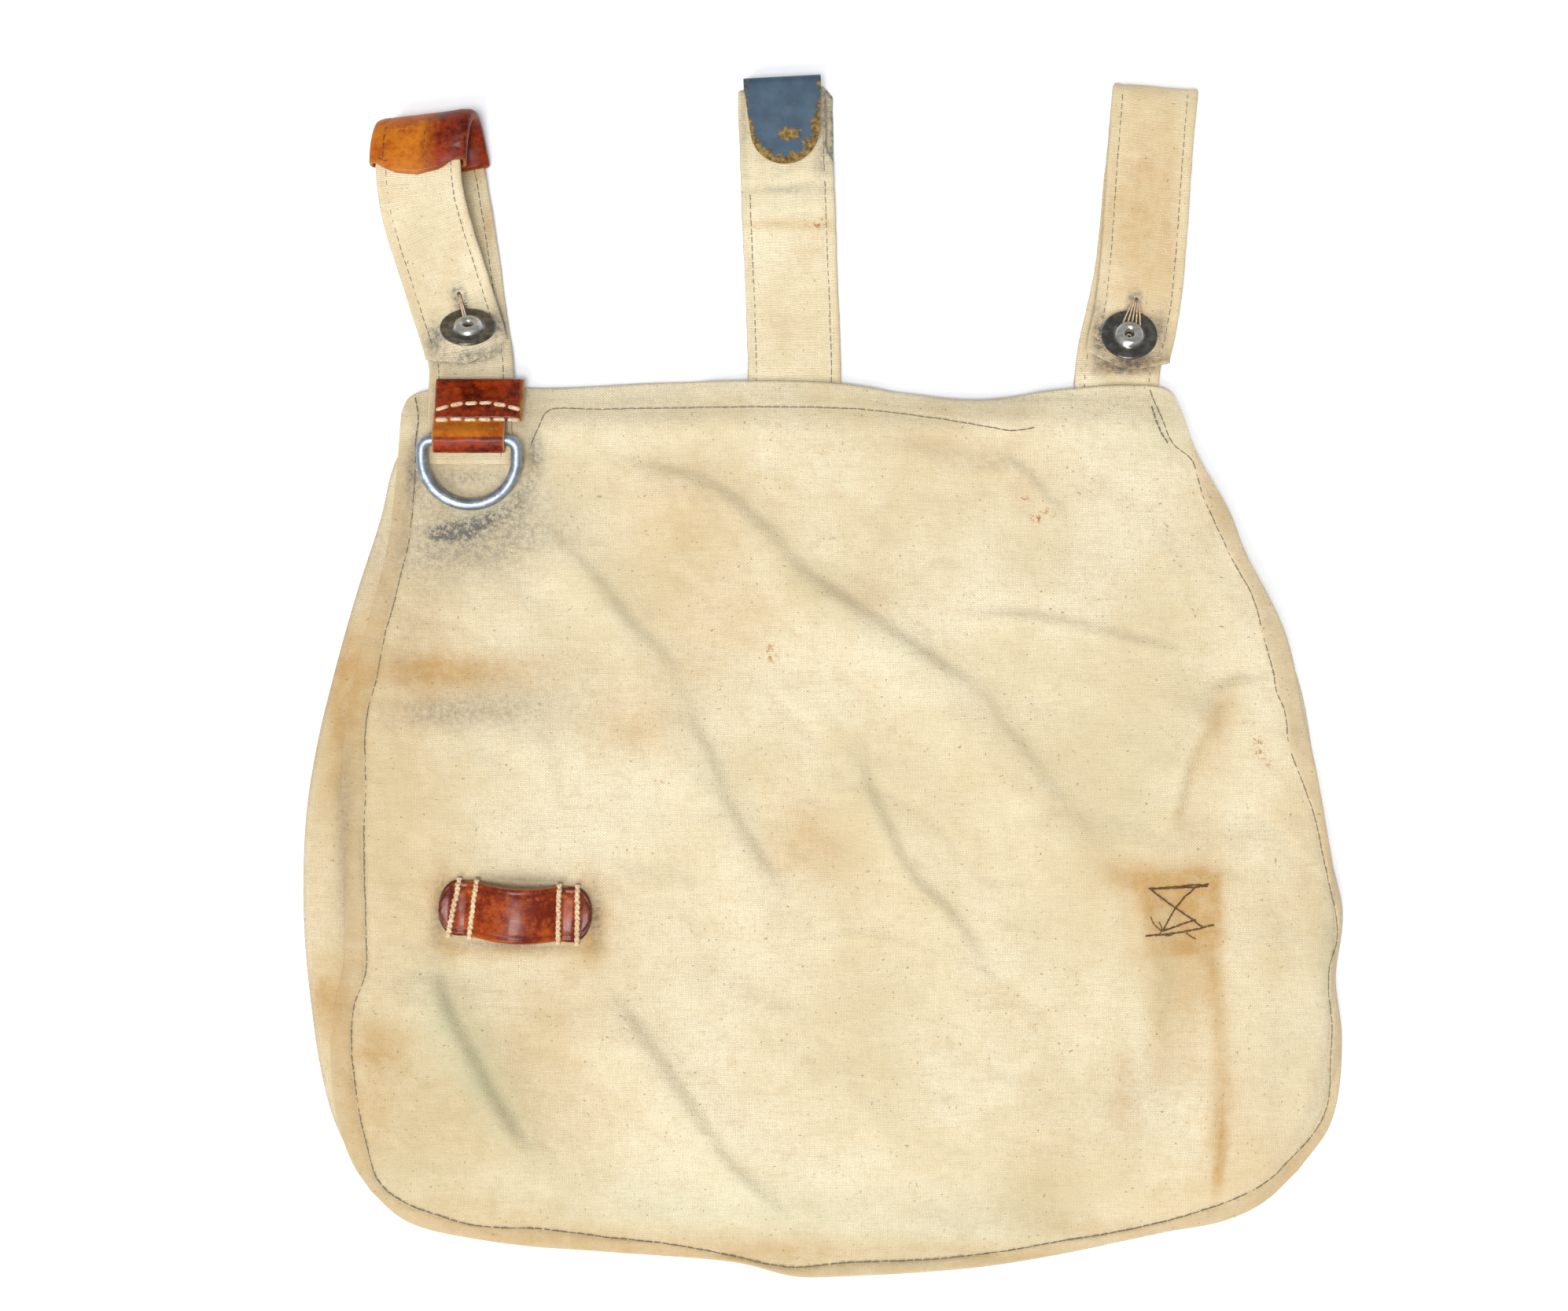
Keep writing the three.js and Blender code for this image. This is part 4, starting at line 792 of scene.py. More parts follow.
hemLine = (
    (528, 596), (527, 614), (524, 656), (518, 697), (511, 726), (500, 770), (488, 812), (478, 866),
    (468, 901), (464, 936), (465, 1006), (463, 1040), (463, 1106), (465, 1173), (464, 1239),
    (450, 1279), (447, 1338), (455, 1405), (466, 1455), (479, 1498), (493, 1514), (519, 1531),
    (558, 1545), (603, 1558), (685, 1562), (767, 1572), (848, 1581), (930, 1596), (1003, 1611),
    (1082, 1605), (1184, 1601), (1265, 1592), (1347, 1578), (1429, 1565), (1510, 1545), (1571, 1524),
    (1612, 1502), (1646, 1468), (1674, 1436), (1689, 1400), (1692, 1343), (1694, 1304), (1689, 1257),
    (1690, 1229), (1700, 1196), (1700, 1171), (1692, 1132), (1683, 1089), (1674, 1046), (1660, 1004),
    (1651, 981), (1639, 949), (1634, 904), (1624, 882), (1619, 853), (1610, 821), (1602, 790),
    (1595, 764), (1583, 739), (1568, 713), (1556, 688), (1540, 652), (1528, 624), (1520, 592),
    (1514, 581), (1492, 564), (1484, 548), (1474, 523), (1462, 495),
)


def onFlap(places):
    # The places of dots of the photograph on the flap, at the height that it has there.
    x, y = spots(*places).T
    for _ in range(2):
        lift = flapUnder(x, y) + cloth["canvas"]
        x, y = np.array([spot(px, py, z) for (px, py), z in zip(places, lift)]).T
    return np.stack([x, y], 1)


hemLine = atSpacing(onFlap(hemLine), 3)
creases = [(atSpacing(onFlap(places), 4), width * 0.8, drop * 1.25) for places, width, drop in creases]
seamThread = atSpacing(onFlap((
    (675, 565), (682, 549), (691, 530), (697, 521), (760, 520), (880, 518), (960, 517), (1080, 519),
    (1180, 530), (1250, 541), (1290, 547), (1316, 543),
)), 3)
# Places where the cloth stays as the straps, ring and keeper sit on it: x, y, half width, half height
calm = [(-102, -14, 16, 20), (-101, -38, 19, 10), (-87.5, -165.6, 24, 11)]


def crumples(x, y, size, seed):
    # A web of thin creases, in some places only.
    thin = np.maximum(0, 1 - np.abs(softNoise(x + 0.5 * y, y, size, seed)) * 6)
    return thin * thin * (3 - 2 * thin) * smoothStep(0.45 + 1.6 * softNoise(x, y, 44, seed + 1))


def flapDetail(x, y):
    # Creases, swells and puckers, which come on top of the folds.
    total = 0.75 * softNoise(x, y, 42, 3) + 0.46 * softNoise(x, y, 16, 5)
    total = total + 0.2 * softNoise(x + 0.4 * y, y, 7, 8) + 0.05 * softNoise(x, y, 2.8, 14)
    total = total - 0.55 * crumples(x, y, 27, 15) - 0.38 * crumples(x, y, 15, 17)
    for line, width, drop in creases:
        distance, side, share = nearLine(x, y, line)
        s = side * distance / width
        ends = smoothStep(share * 4 + 0.15) * smoothStep((1 - share) * 4 + 0.15)
        total = total - ends * drop * np.tanh(s) * np.exp(-np.abs(s) * 0.42)
    quiet = 1
    for cx, cy, wide, tall in calm:
        quiet = quiet * smoothStep(np.maximum(np.abs(x - cx) - wide, np.abs(y - cy) - tall) / 9)
    total = total * quiet * smoothStep((-y - 10) / 14)
    # the closing tab's edges press through, and its sewing pulls the cloth down
    total = total + 0.9 * (closingTabLift(x, y, 3, 5) - closingTabLift(x, y, 16, 14))
    boxX, boxY = spot(1499, 1155)
    total = total - 0.7 * np.exp(-((x - boxX) / 12) ** 2 - ((y - boxY) / 9) ** 2)
    return np.maximum(total, -0.75 + 0.1 * total)


def hemShape(x, y):
    # The turned hem is thicker outside its row of stitches, and the thread draws it in.
    distance, side, share = nearLine(x, y, hemLine)
    outside = side * distance
    pull = 0.24 * np.exp(-(distance / 1.0) ** 2) + 0.12 * np.exp(-(distance / 3) ** 2)
    wave = 0.16 * np.sin(share * 1290) * np.exp(-(distance / 2.6) ** 2)
    return -outside, pull - wave


def flapFaces(x, y):
    # The heights of the flap's two faces.
    under = flapUnder(x, y) + flapDetail(x, y)
    under = np.maximum(under, 0.3)
    out, pull = hemShape(x, y)
    turned = smoothStep((out + 0.5) / 1.3) * smoothStep((-y - 12) / 14)
    seamAway, seamSide, _ = nearLine(x, y, seamThread)
    fold = 0.35 * smoothStep((seamSide * seamAway + 0.4) / 1.2) * (np.abs(x) < 78)
    sewn = 0.22 * np.exp(-(seamAway / 1.0) ** 2)
    ridge = 0.10 * softNoise(x, y, 3.2, 12) * np.exp(-(np.abs(out) / 5) ** 2)
    over = under + cloth["canvas"] + cloth["hem"] * turned - np.minimum(pull, 0.6)
    return under, over + fold - sewn + ridge


def flapTopZ(x, y):
    return flapFaces(np.asarray(x, float), np.asarray(y, float))[1]


# Soil and painted shade: soft patches as x, y, wide, tall in dots of the photograph, turned in degrees, and
# strength
soilAndShadePatches = {
    # brown: stains, with painted shade under the right button, round the keeper and beside two folds at the
    # right
    "brownSoilAndShade": [
        (600, 1400, 120, 110, 20, 0.2), (470, 1420, 40, 80, 0, 0.3), (700, 1570, 200, 26, 6, 0.32),
        (960, 1590, 140, 22, 4, 0.36), (1600, 1500, 90, 40, -30, 0.22), (1000, 1600, 420, 22, 2, 0.3),
        (590, 1400, 100, 110, -25, 0.22), (1500, 1530, 90, 30, -20, 0.2), (520, 900, 60, 240, 8, 0.12),
        (415, 1150, 60, 330, 0, 0.34), (440, 850, 40, 200, 14, 0.3), (620, 1440, 170, 110, -20, 0.24),
        (500, 1240, 60, 130, 0, 0.2), (1545, 920, 13, 40, 25, 0.4), (1513, 990, 9, 50, 16, 0.35),
        (585, 1290, 20, 40, -20, 0.3), (520, 1000, 60, 160, 0, 0.2), (640, 1000, 60, 60, 0, 0.14),
        (1660, 1100, 24, 120, -12, 0.22), (1560, 640, 40, 120, 24, 0.18), (560, 600, 60, 60, 0, 0.15),
        (1438, 462, 38, 7, -4, 0.9), (618, 283, 9, 22, 0, 0.7), (600, 215, 16, 14, 0, 0.6),
        (1000, 281, 52, 7, 1, 0.5), (1030, 320, 26, 30, 0, 0.3), (1000, 420, 50, 40, 0, 0.15),
        (530, 330, 34, 60, 10, 0.25), (575, 330, 14, 70, 12, 0.25), (505, 245, 26, 26, 0, 0.3),
        (1460, 200, 50, 90, 0, 0.5), (1450, 320, 50, 90, 0, 0.5), (1490, 300, 10, 160, 0, 0.25),
        (1430, 430, 60, 40, 0, 0.4), (560, 520, 10, 40, 0, 0.35), (660, 590, 20, 12, 0, 0.3),
        (1010, 130, 40, 60, 0, 0.15), (570, 853, 85, 18, 0, 0.65), (610, 868, 130, 48, -6, 0.34),
        (540, 800, 40, 90, 12, 0.18), (870, 680, 62, 52, 20, 0.42), (930, 790, 90, 66, -20, 0.36),
        (800, 925, 60, 34, 20, 0.34), (1035, 1060, 34, 66, -38, 0.42), (1000, 1085, 34, 28, 0, 0.3),
        (850, 900, 66, 50, 0, 0.22), (880, 610, 150, 40, 12, 0.2), (655, 1160, 118, 60, 0, 0.28),
        (569, 1160, 22, 50, 0, 0.75), (752, 1172, 22, 46, 0, 0.85), (655, 1206, 92, 12, 0, 0.5),
        (655, 1122, 90, 11, 0, 0.35), (1502, 1153, 46, 46, -2, 0.62, 1), (1504, 1116, 48, 11, -3, 0.5),
        (1461, 1160, 6, 44, 0, 0.5), (1545, 1150, 9, 40, 0, 0.55), (1500, 1206, 46, 9, -6, 0.55),
        (1504, 1150, 70, 62, 0, 0.30), (1520, 1090, 26, 40, 0, 0.30), (1492, 1290, 34, 96, 1, 0.34, 1),
        (1500, 1240, 40, 50, 0, 0.25), (1540, 1240, 13, 62, -3, 0.62), (1551, 1330, 13, 66, -3, 0.5),
        (1475, 1280, 10, 60, 0, 0.2), (1548, 1440, 13, 44, 4, 0.55), (1552, 1480, 6, 34, 4, 1.0),
        (1566, 1410, 26, 50, 0, 0.22), (1426, 1115, 40, 18, 12, 0.4), (1445, 1150, 14, 40, 0, 0.3),
        (1250, 1596, 150, 13, 4, 0.36), (1400, 1568, 90, 14, 8, 0.36), (495, 1332, 34, 30, 0, 0.42),
        (470, 1332, 18, 20, 0, 0.3), (440, 872, 20, 66, 0, 0.6), (416, 1268, 24, 42, 0, 0.7),
        (425, 990, 14, 90, 0, 0.25), (1290, 600, 90, 34, 14, 0.22), (1430, 1395, 20, 66, 0, 0.32),
        (1440, 1110, 60, 26, 25, 0.3), (1550, 940, 20, 70, 10, 0.25), (1330, 1500, 50, 90, 0, 0.2),
        (700, 1290, 60, 60, 0, 0.18), (1010, 1200, 200, 160, 0, 0.1), (1610, 1180, 30, 60, 0, 0.16),
        (960, 520, 500, 14, 0, 0.14), (1200, 560, 90, 26, 0, 0.2), (560, 1540, 90, 20, 0, 0.2),
        (1590, 1390, 60, 50, 0, 0.14), (1290, 1280, 60, 24, 12, 0.2), (1110, 760, 70, 30, 0, 0.16),
    ],
    # grey: dirt below the ring, and painted shadows round the buttons, beside the hook's tongue, round the
    # keeper, along the pouch's left edge and along the top edge
    "greySoilAndShade": [
        (576, 676, 26, 9, -6, 0.85), (612, 662, 34, 9, -22, 0.6), (600, 690, 90, 34, -8, 0.34),
        (680, 575, 10, 26, 0, 0.62), (662, 628, 16, 26, 20, 0.36), (524, 600, 11, 36, 0, 0.5),
        (530, 560, 6, 30, 0, 0.3), (555, 640, 34, 40, 30, 0.28), (600, 604, 46, 12, 0, 0.30),
        (660, 660, 60, 60, 20, 0.2), (560, 905, 64, 18, 0, 0.3), (640, 900, 80, 26, 0, 0.18),
        (555, 720, 70, 60, 0, 0.12), (520, 820, 34, 60, 10, 0.14), (1440, 1400, 80, 60, 0, 0.1),
        (655, 1119, 84, 4, -2, 0.3), (1270, 1560, 120, 44, 0, 0.1), (440, 1010, 12, 60, 0, 0.25),
        (436, 1120, 8, 70, 0, 0.3), (560, 1158, 7, 34, 8, 0.6), (758, 1165, 8, 34, 0, 0.6),
        (655, 1202, 86, 6, 2, 0.4), (552, 428, 13, 22, 0, 0.75), (598, 450, 40, 10, -10, 0.7),
        (632, 412, 9, 22, 0, 0.7), (1400, 422, 9, 34, 0, 0.8), (1440, 457, 40, 9, -4, 0.8),
        (1478, 420, 9, 26, 0, 0.6), (1442, 468, 40, 6, 0, 0.5), (1050, 150, 8, 46, 0, 0.55),
        (1044, 205, 10, 20, 0, 0.3), (945, 160, 5, 40, 0, 0.3), (1002, 236, 46, 4, 4, 0.3),
        (655, 480, 12, 20, 0, 0.3), (700, 486, 40, 6, 0, 0.35), (760, 482, 60, 4, 0, 0.25),
        (1290, 505, 90, 5, 0, 0.25), (880, 486, 240, 7, 0, 0.16), (1400, 700, 120, 90, 20, 0.05),
        (700, 870, 100, 60, 0, 0.08), (1250, 585, 90, 12, 14, 0.14), (470, 700, 16, 90, 16, 0.12),
    ],
    "greenShade": [
        (590, 1380, 80, 120, -28, 0.5), (430, 1100, 60, 300, 0, 0.2), (900, 1540, 330, 50, 5, 0.3),
        (556, 1262, 36, 60, -15, 0.4), (1000, 1560, 300, 40, 4, 0.22), (500, 1500, 60, 60, 30, 0.25),
        (1290, 1530, 140, 60, 0, 0.2), (600, 980, 90, 90, 0, 0.15), (1430, 1000, 60, 160, 20, 0.16),
        (1000, 130, 50, 60, 0, 0.2), (1005, 240, 50, 50, 0, 0.35), (540, 300, 30, 80, 10, 0.25),
        (1180, 1330, 90, 90, 0, 0.14), (880, 1250, 70, 70, 0, 0.12), (1330, 900, 90, 40, 30, 0.14),
        (594, 1325, 26, 62, -26, 0.7), (642, 1420, 24, 60, -28, 0.55), (1490, 545, 60, 26, 0, 0.3),
        (1450, 560, 60, 20, 0, 0.2), (770, 770, 60, 24, 42, 0.3), (900, 980, 30, 90, -28, 0.35),
        (1100, 800, 120, 22, 32, 0.3), (1480, 1240, 14, 90, 0, 0.45), (1690, 1225, 12, 60, 0, 0.6),
        (1640, 1330, 20, 60, 20, 0.25), (870, 1420, 26, 90, -34, 0.25), (1110, 1010, 14, 60, -20, 0.3),
    ],
    "rustSoil": [
        (1040, 281, 14, 3, 0, 0.5), (965, 283, 8, 3, 0, 0.35), (1048, 276, 5, 4, 0, 0.5),
        (981, 830, 5, 9, 0, 0.7), (1318, 658, 7, 4, 20, 0.8), (1330, 648, 5, 3, 0, 0.6),
        (1305, 634, 6, 3, 0, 0.5), (1597, 940, 4, 6, 0, 0.9), (1604, 955, 4, 5, 0, 0.8),
        (1612, 968, 3, 5, 0, 0.7), (1592, 958, 3, 4, 0, 0.6), (840, 995, 4, 3, 0, 0.8),
        (1044, 571, 4, 3, 0, 0.6), (993, 545, 5, 4, 0, 0.4), (1340, 655, 3, 2, 0, 0.5),
    ],
}


def soilAndShadeMarks(x, y):
    marks = {}
    for name, patches in soilAndShadePatches.items():
        total = np.zeros(np.shape(x))
        for px, py, wide, tall, turn, strength, *square in patches:
            cx, cy = spot(px, py, 13)
            c, s = math.cos(math.radians(turn)), math.sin(math.radians(turn))
            u = ((x - cx) * c - (y - cy) * s) / (wide / view["dots"])
            v = ((x - cx) * s + (y - cy) * c) / (tall / view["dots"])
            patch = np.exp(-(u ** 6 + v ** 6)) if square else np.exp(-(u * u + v * v) * 0.9)
            total = total + strength * patch
        marks[name] = np.clip(total, 0, 1)
    return marks


def edgeStops(size, inner):
    near = np.array([0, 0.15, 0.4, 0.8, 1.3, 1.9, 2.5, 3.1, 3.7, 4.3, 4.9, 5.5, 6.2, 7.0, 8.0]) / size
    return np.concatenate([near, np.linspace(9.2 / size, 1 - 9.2 / size, inner), 1 - near[::-1]])


def flapPlan():
    size = np.array([flapHalf, -flapLong])
    us, vs = edgeStops(285, 165), edgeStops(272, 160)
    top, bottom = (evenPoints(np.array(flap[k]) * size, us) for k in ("top", "bottom"))
    left, right = (evenPoints(np.array(flap[k]) * size, vs) for k in ("left", "right"))
    u, v = us[None, :, None], vs[:, None, None]
    sides = mixed(top[None], bottom[None], v) + mixed(left[:, None], right[:, None], u)
    corners = mixed(mixed(top[0], top[-1], u), mixed(bottom[0], bottom[-1], u), v)
    plan = sides - corners
    return plan[..., 0], plan[..., 1]


def makeFlap():
    x, y = flapPlan()
    low, high = flapFaces(x, y)
    out, _ = hemShape(x, y)
    marks = soilAndShadeMarks(x, y)
    marks["hemTan"] = smoothStep((out + 1) / 2) * smoothStep((-y - 16) / 10) * 0.8
    piece = slab("flapCloth", x, y, low, high, marks)
    finished(piece, canvasCloth, replaces=["flap"])
    print("flap: %d faces" % len(piece.data.polygons))


def makePouch():
    across, downSteps = 64, 84
    share = np.linspace(0, 1, across + 1)
    spread = -np.cos(share * np.pi) * 0.55 + (share - 0.5) * 0.9
    topEdge = np.array(flap["top"]) * (flapHalf, flapLong)
    loops = {}
    for wall in ("outer", "inner"):
        inset = 0 if wall == "outer" else pouch["seam"]
        rows = []
        for v in np.linspace(0, 1, downSteps + 1) ** 0.92:
            s = np.concatenate([spread, spread[::-1]])
            front = np.arange(len(s)) <= across
            turn = 0.5 * np.minimum(1, (1 - np.abs(s)) / 0.12)
            opening = pouch["mouthDrop"] * np.where(front, 0.5 + turn, 0.5 - turn)
            xAtTop = mixed(pouchLeft(0.0), pouchRight(0.0), (s + 1) / 2)
            drop = np.maximum(opening, np.interp(xAtTop, topEdge[:, 0], topEdge[:, 1]) + 0.9)
            length = pouch["length"] - (0.6 if wall == "outer" else pouch["seam"] * 1.5)
            y = -(drop + v * (length - drop))
            x = mixed(pouchLeft(y) + inset, pouchRight(y) - inset, (s + 1) / 2)
            middle = fullHeight(y) / 2
            swell = 0.5 * softNoise(x * 1.6, y, 30, 21) + 0.35 * softNoise(x * 3, y * 0.5, 12, 22)
            wandering = x * 0.55 + 1.2 * softNoise(x, y, 30, 24)
            gather = 0.7 * np.sin(wandering) * smoothStep(beyond(x, 0, 262) / 8)
            inside = smoothStep(insidePouch(x, y) / 9)
            upper = pouchFront(x, y) + (swell + gather - 0.45) * inside
            lower = pouchBack(x, y) + 0.06 * (1 + swell) * inside
            z = np.where(front, upper, lower)
            if wall == "inner":
                upper = np.maximum(z - cloth["canvas"], middle + 0.2)
                lower = np.minimum(z + cloth["canvas"], middle - 0.2)
                z = np.where(front, upper, lower)
            else:
                z = np.where(np.abs(s) > 0.9999, middle, z)
            rows.append(np.stack([x, y, z], 1))
        loops[wall] = np.array(rows)
    width = loops["outer"].shape[1]
    points = np.concatenate([loops["outer"].reshape(-1, 3), loops["inner"].reshape(-1, 3)])
    count = (downSteps + 1) * width
    faces = []
    for r in range(downSteps):
        for c in range(width):
            a, b = r * width + c, r * width + (c + 1) % width
            faces.append([a, b, b + width, a + width])
            faces.append([count + b, count + a, count + a + width, count + b + width])
    for c in range(width):
        a, b = c, (c + 1) % width
        faces.append([count + a, count + b, b, a])
    for start in (downSteps * width, count + downSteps * width):
        for c in range(across):
            faces.append([start + c, start + c + 1, start + width - 2 - c, start + width - 1 - c])
    piece = meshPiece("pouchCloth", points, faces, points[:, :2], soilAndShadeMarks(points[:, 0], points[:, 1]))
    mend(piece, 0.00002)
    finished(piece, canvasCloth, replaces=["pouch"])
    print("pouch: %d faces" % len(piece.data.polygons))


makePouch()
makeFlap()


# Straps

class Ribbon:
    # The line of a strap: points, width directions and inward normals, close together.
    def __init__(self, points, across):
        self.points = points
        along = np.gradient(points, axis=0)
        self.along = along / np.linalg.norm(along, axis=1)[:, None]
        across = across - (across * self.along).sum(1)[:, None] * self.along
        self.across = across / np.linalg.norm(across, axis=1)[:, None]
        self.inward = np.cross(self.across, self.along)
        self.length = lengthsAlong(points)

    def finer(self, step):
        at = np.linspace(0, 1, int(self.length[-1] / step) + 1)
        place = at * (len(self.points) - 1)
        points = curvePoints(self.points, at)
        steps = np.arange(len(self.across))
        across = np.stack([np.interp(place, steps, self.across[:, k]) for k in range(3)], 1)
        return Ribbon(points, across)

    def part(self, keep):
        return Ribbon(self.points[keep], self.across[keep])

    def at(self, length, aside, outward):
        # A place on the strap's face, and the direction away from it.
        pick = lambda values: np.stack([np.interp(length, self.length, values[:, k]) for k in range(3)], -1)
        away = -pick(self.inward)
        sideways = pick(self.across) * np.asarray(aside)[..., None]
        return pick(self.points) + sideways + away * np.asarray(outward)[..., None], away


def strapLine(rows, height, rise, root, lead, steps, softness):
    # rows: across and up as shares of the height, lift as a share of the rise, lean in degrees
    body = [(root + across * height, up * height, lift * rise, lean) for across, up, lift, lean in rows]
    everything = np.array(lead + body)
    points = curvePoints(everything[:, :3], np.linspace(0, 1, steps + 1))

    def soften(values, passes):
        for _ in range(passes):
            inner = (2 * values[1:-1] + values[:-2] + values[2:]) / 4
            values = np.concatenate([values[:1], inner, values[-1:]])
        return values

    points = soften(points, softness)
    places = np.arange(len(everything))
    lean = np.radians(np.interp(np.linspace(0, places[-1], steps + 1), places, everything[:, 3]))
    wide = Ribbon(points, np.stack([np.cos(lean), np.sin(lean), 0 * lean], 1)).across
    return Ribbon(points, soften(wide, 3 * softness))


straps = {
    "left": {
        "height": 82.2, "rise": 18.5, "steps": 46, "softness": 2, "point": 4.5, "seed": 31,
        "buttonUp": 0.185, "buttonAside": 2.7, "tilt": 46,
        "rows": [
            (0, 0.06, 0.2, 1), (-0.018, 0.17, 0.085, 5), (-0.047, 0.393, 0.085, 8),
            (-0.076, 0.598, 0.12, 8.5), (-0.109, 0.789, 0.165, 9), (-0.129, 0.89, 0.22, 9.5),
            (-0.142, 0.965, 0.37, 11), (-0.156, 0.99, 0.6, 12), (-0.172, 0.965, 0.84, 12),
            (-0.187, 0.89, 0.97, 11), (-0.188, 0.77, 0.98, 10), (-0.17, 0.645, 0.86, 11),
            (-0.131, 0.505, 0.68, 15), (-0.096, 0.395, 0.52, 18), (-0.064, 0.282, 0.4, 19),
            (-0.033, 0.188, 0.34, 19), (-0.017, 0.125, 0.32, 17),
        ],
    },
    "right": {
        "height": 93.8, "rise": 8.2, "steps": 42, "softness": 1, "point": 4.5, "seed": 47,
        "buttonUp": 0.158, "buttonAside": -1.2, "tilt": 27,
        "rows": [
            (0.005, 0.06, 0.38, -3), (0.022, 0.15, 0.16, -6), (0.068, 0.353, 0.125, -7),
            (0.092, 0.589, 0.13, -7), (0.113, 0.8, 0.135, -6), (0.126, 0.93, 0.18, -5),
            (0.131, 0.975, 0.36, -5), (0.13, 0.99, 0.56, -5), (0.127, 0.975, 0.77, -5),
            (0.121, 0.93, 0.95, -5), (0.104, 0.72, 1, -5), (0.09, 0.5, 0.97, -5),
            (0.075, 0.32, 0.94, -7), (0.058, 0.2, 0.76, -6), (0.042, 0.13, 0.68, -3),
            (0.034, 0.085, 0.8, 0),
        ],
    },
}
centre = {"height": 93.2, "lean": 3, "hookPlate": 1.2, "seed": 63}


def tucked(root):
    height = cloth["canvas"] + roots["seat"] + cloth["strap"] / 2
    return [(root, -roots["tuck"], height, 0), (root, 0, height, 0)]


def leftLead():
    downs = [roots["leftLap"] * share for share in (1, 0.66, 0.33, 0)]
    return [
        (roots["left"], -down, seatOnFlap(roots["left"], -down) + cloth["gap"] + cloth["strap"] / 2, 0)
        for down in downs
    ]


def loopLine(side):
    s = straps[side]
    lead = leftLead() if side == "left" else tucked(roots["right"])
    return strapLine(s["rows"], s["height"], s["rise"], roots[side], lead, s["steps"], s["softness"])


foldRadius = cloth["strap"] / 2 + cloth["gap"] + centre["hookPlate"] / 2
backPly = cloth["strap"] / 2 + cloth["gap"]
frontPly = backPly + 2 * foldRadius
strapTop = centre["height"] - cloth["strap"] / 2 - foldRadius


def centreLine():
    # Up in front, over the hook's leg and down behind it, where the end is sewn on.
    t, r = strapTop, foldRadius
    rows = [
        (0, 0.06 * t, 2.5, 0), (-0.004 * t, 0.2 * t, 1.55, 0.5), (-0.011 * t, 0.38 * t, 1.35, 1.5),
        (-0.016 * t, 0.5 * t, 1.5, 2), (-0.0185 * t, 0.56 * t, 2.6, 2.2),
        (-0.021 * t, 0.62 * t, 3.35, 2.4), (-0.0235 * t, 0.69 * t, 3.6, 2.6),
        (-0.0265 * t, 0.76 * t, 4.7, 2.8), (-0.029 * t, 0.83 * t, frontPly, 3),
        (-0.034 * t, t, frontPly, 3), (-0.034 * t, t + r * 0.7, frontPly - r * 0.3, 3),
        (-0.034 * t, t + r, backPly + r, 3), (-0.034 * t, t + r * 0.7, backPly + r * 0.3, 3),
        (-0.034 * t, t, backPly, 3), (-0.031 * t, t - 17, backPly, 3),
        (-0.028 * t, t - 30, backPly, 2.5), (-0.027 * t, t - 38, backPly, 2),
    ]
    return strapLine(rows, 1, 1, 0, tucked(0), 64, 0)


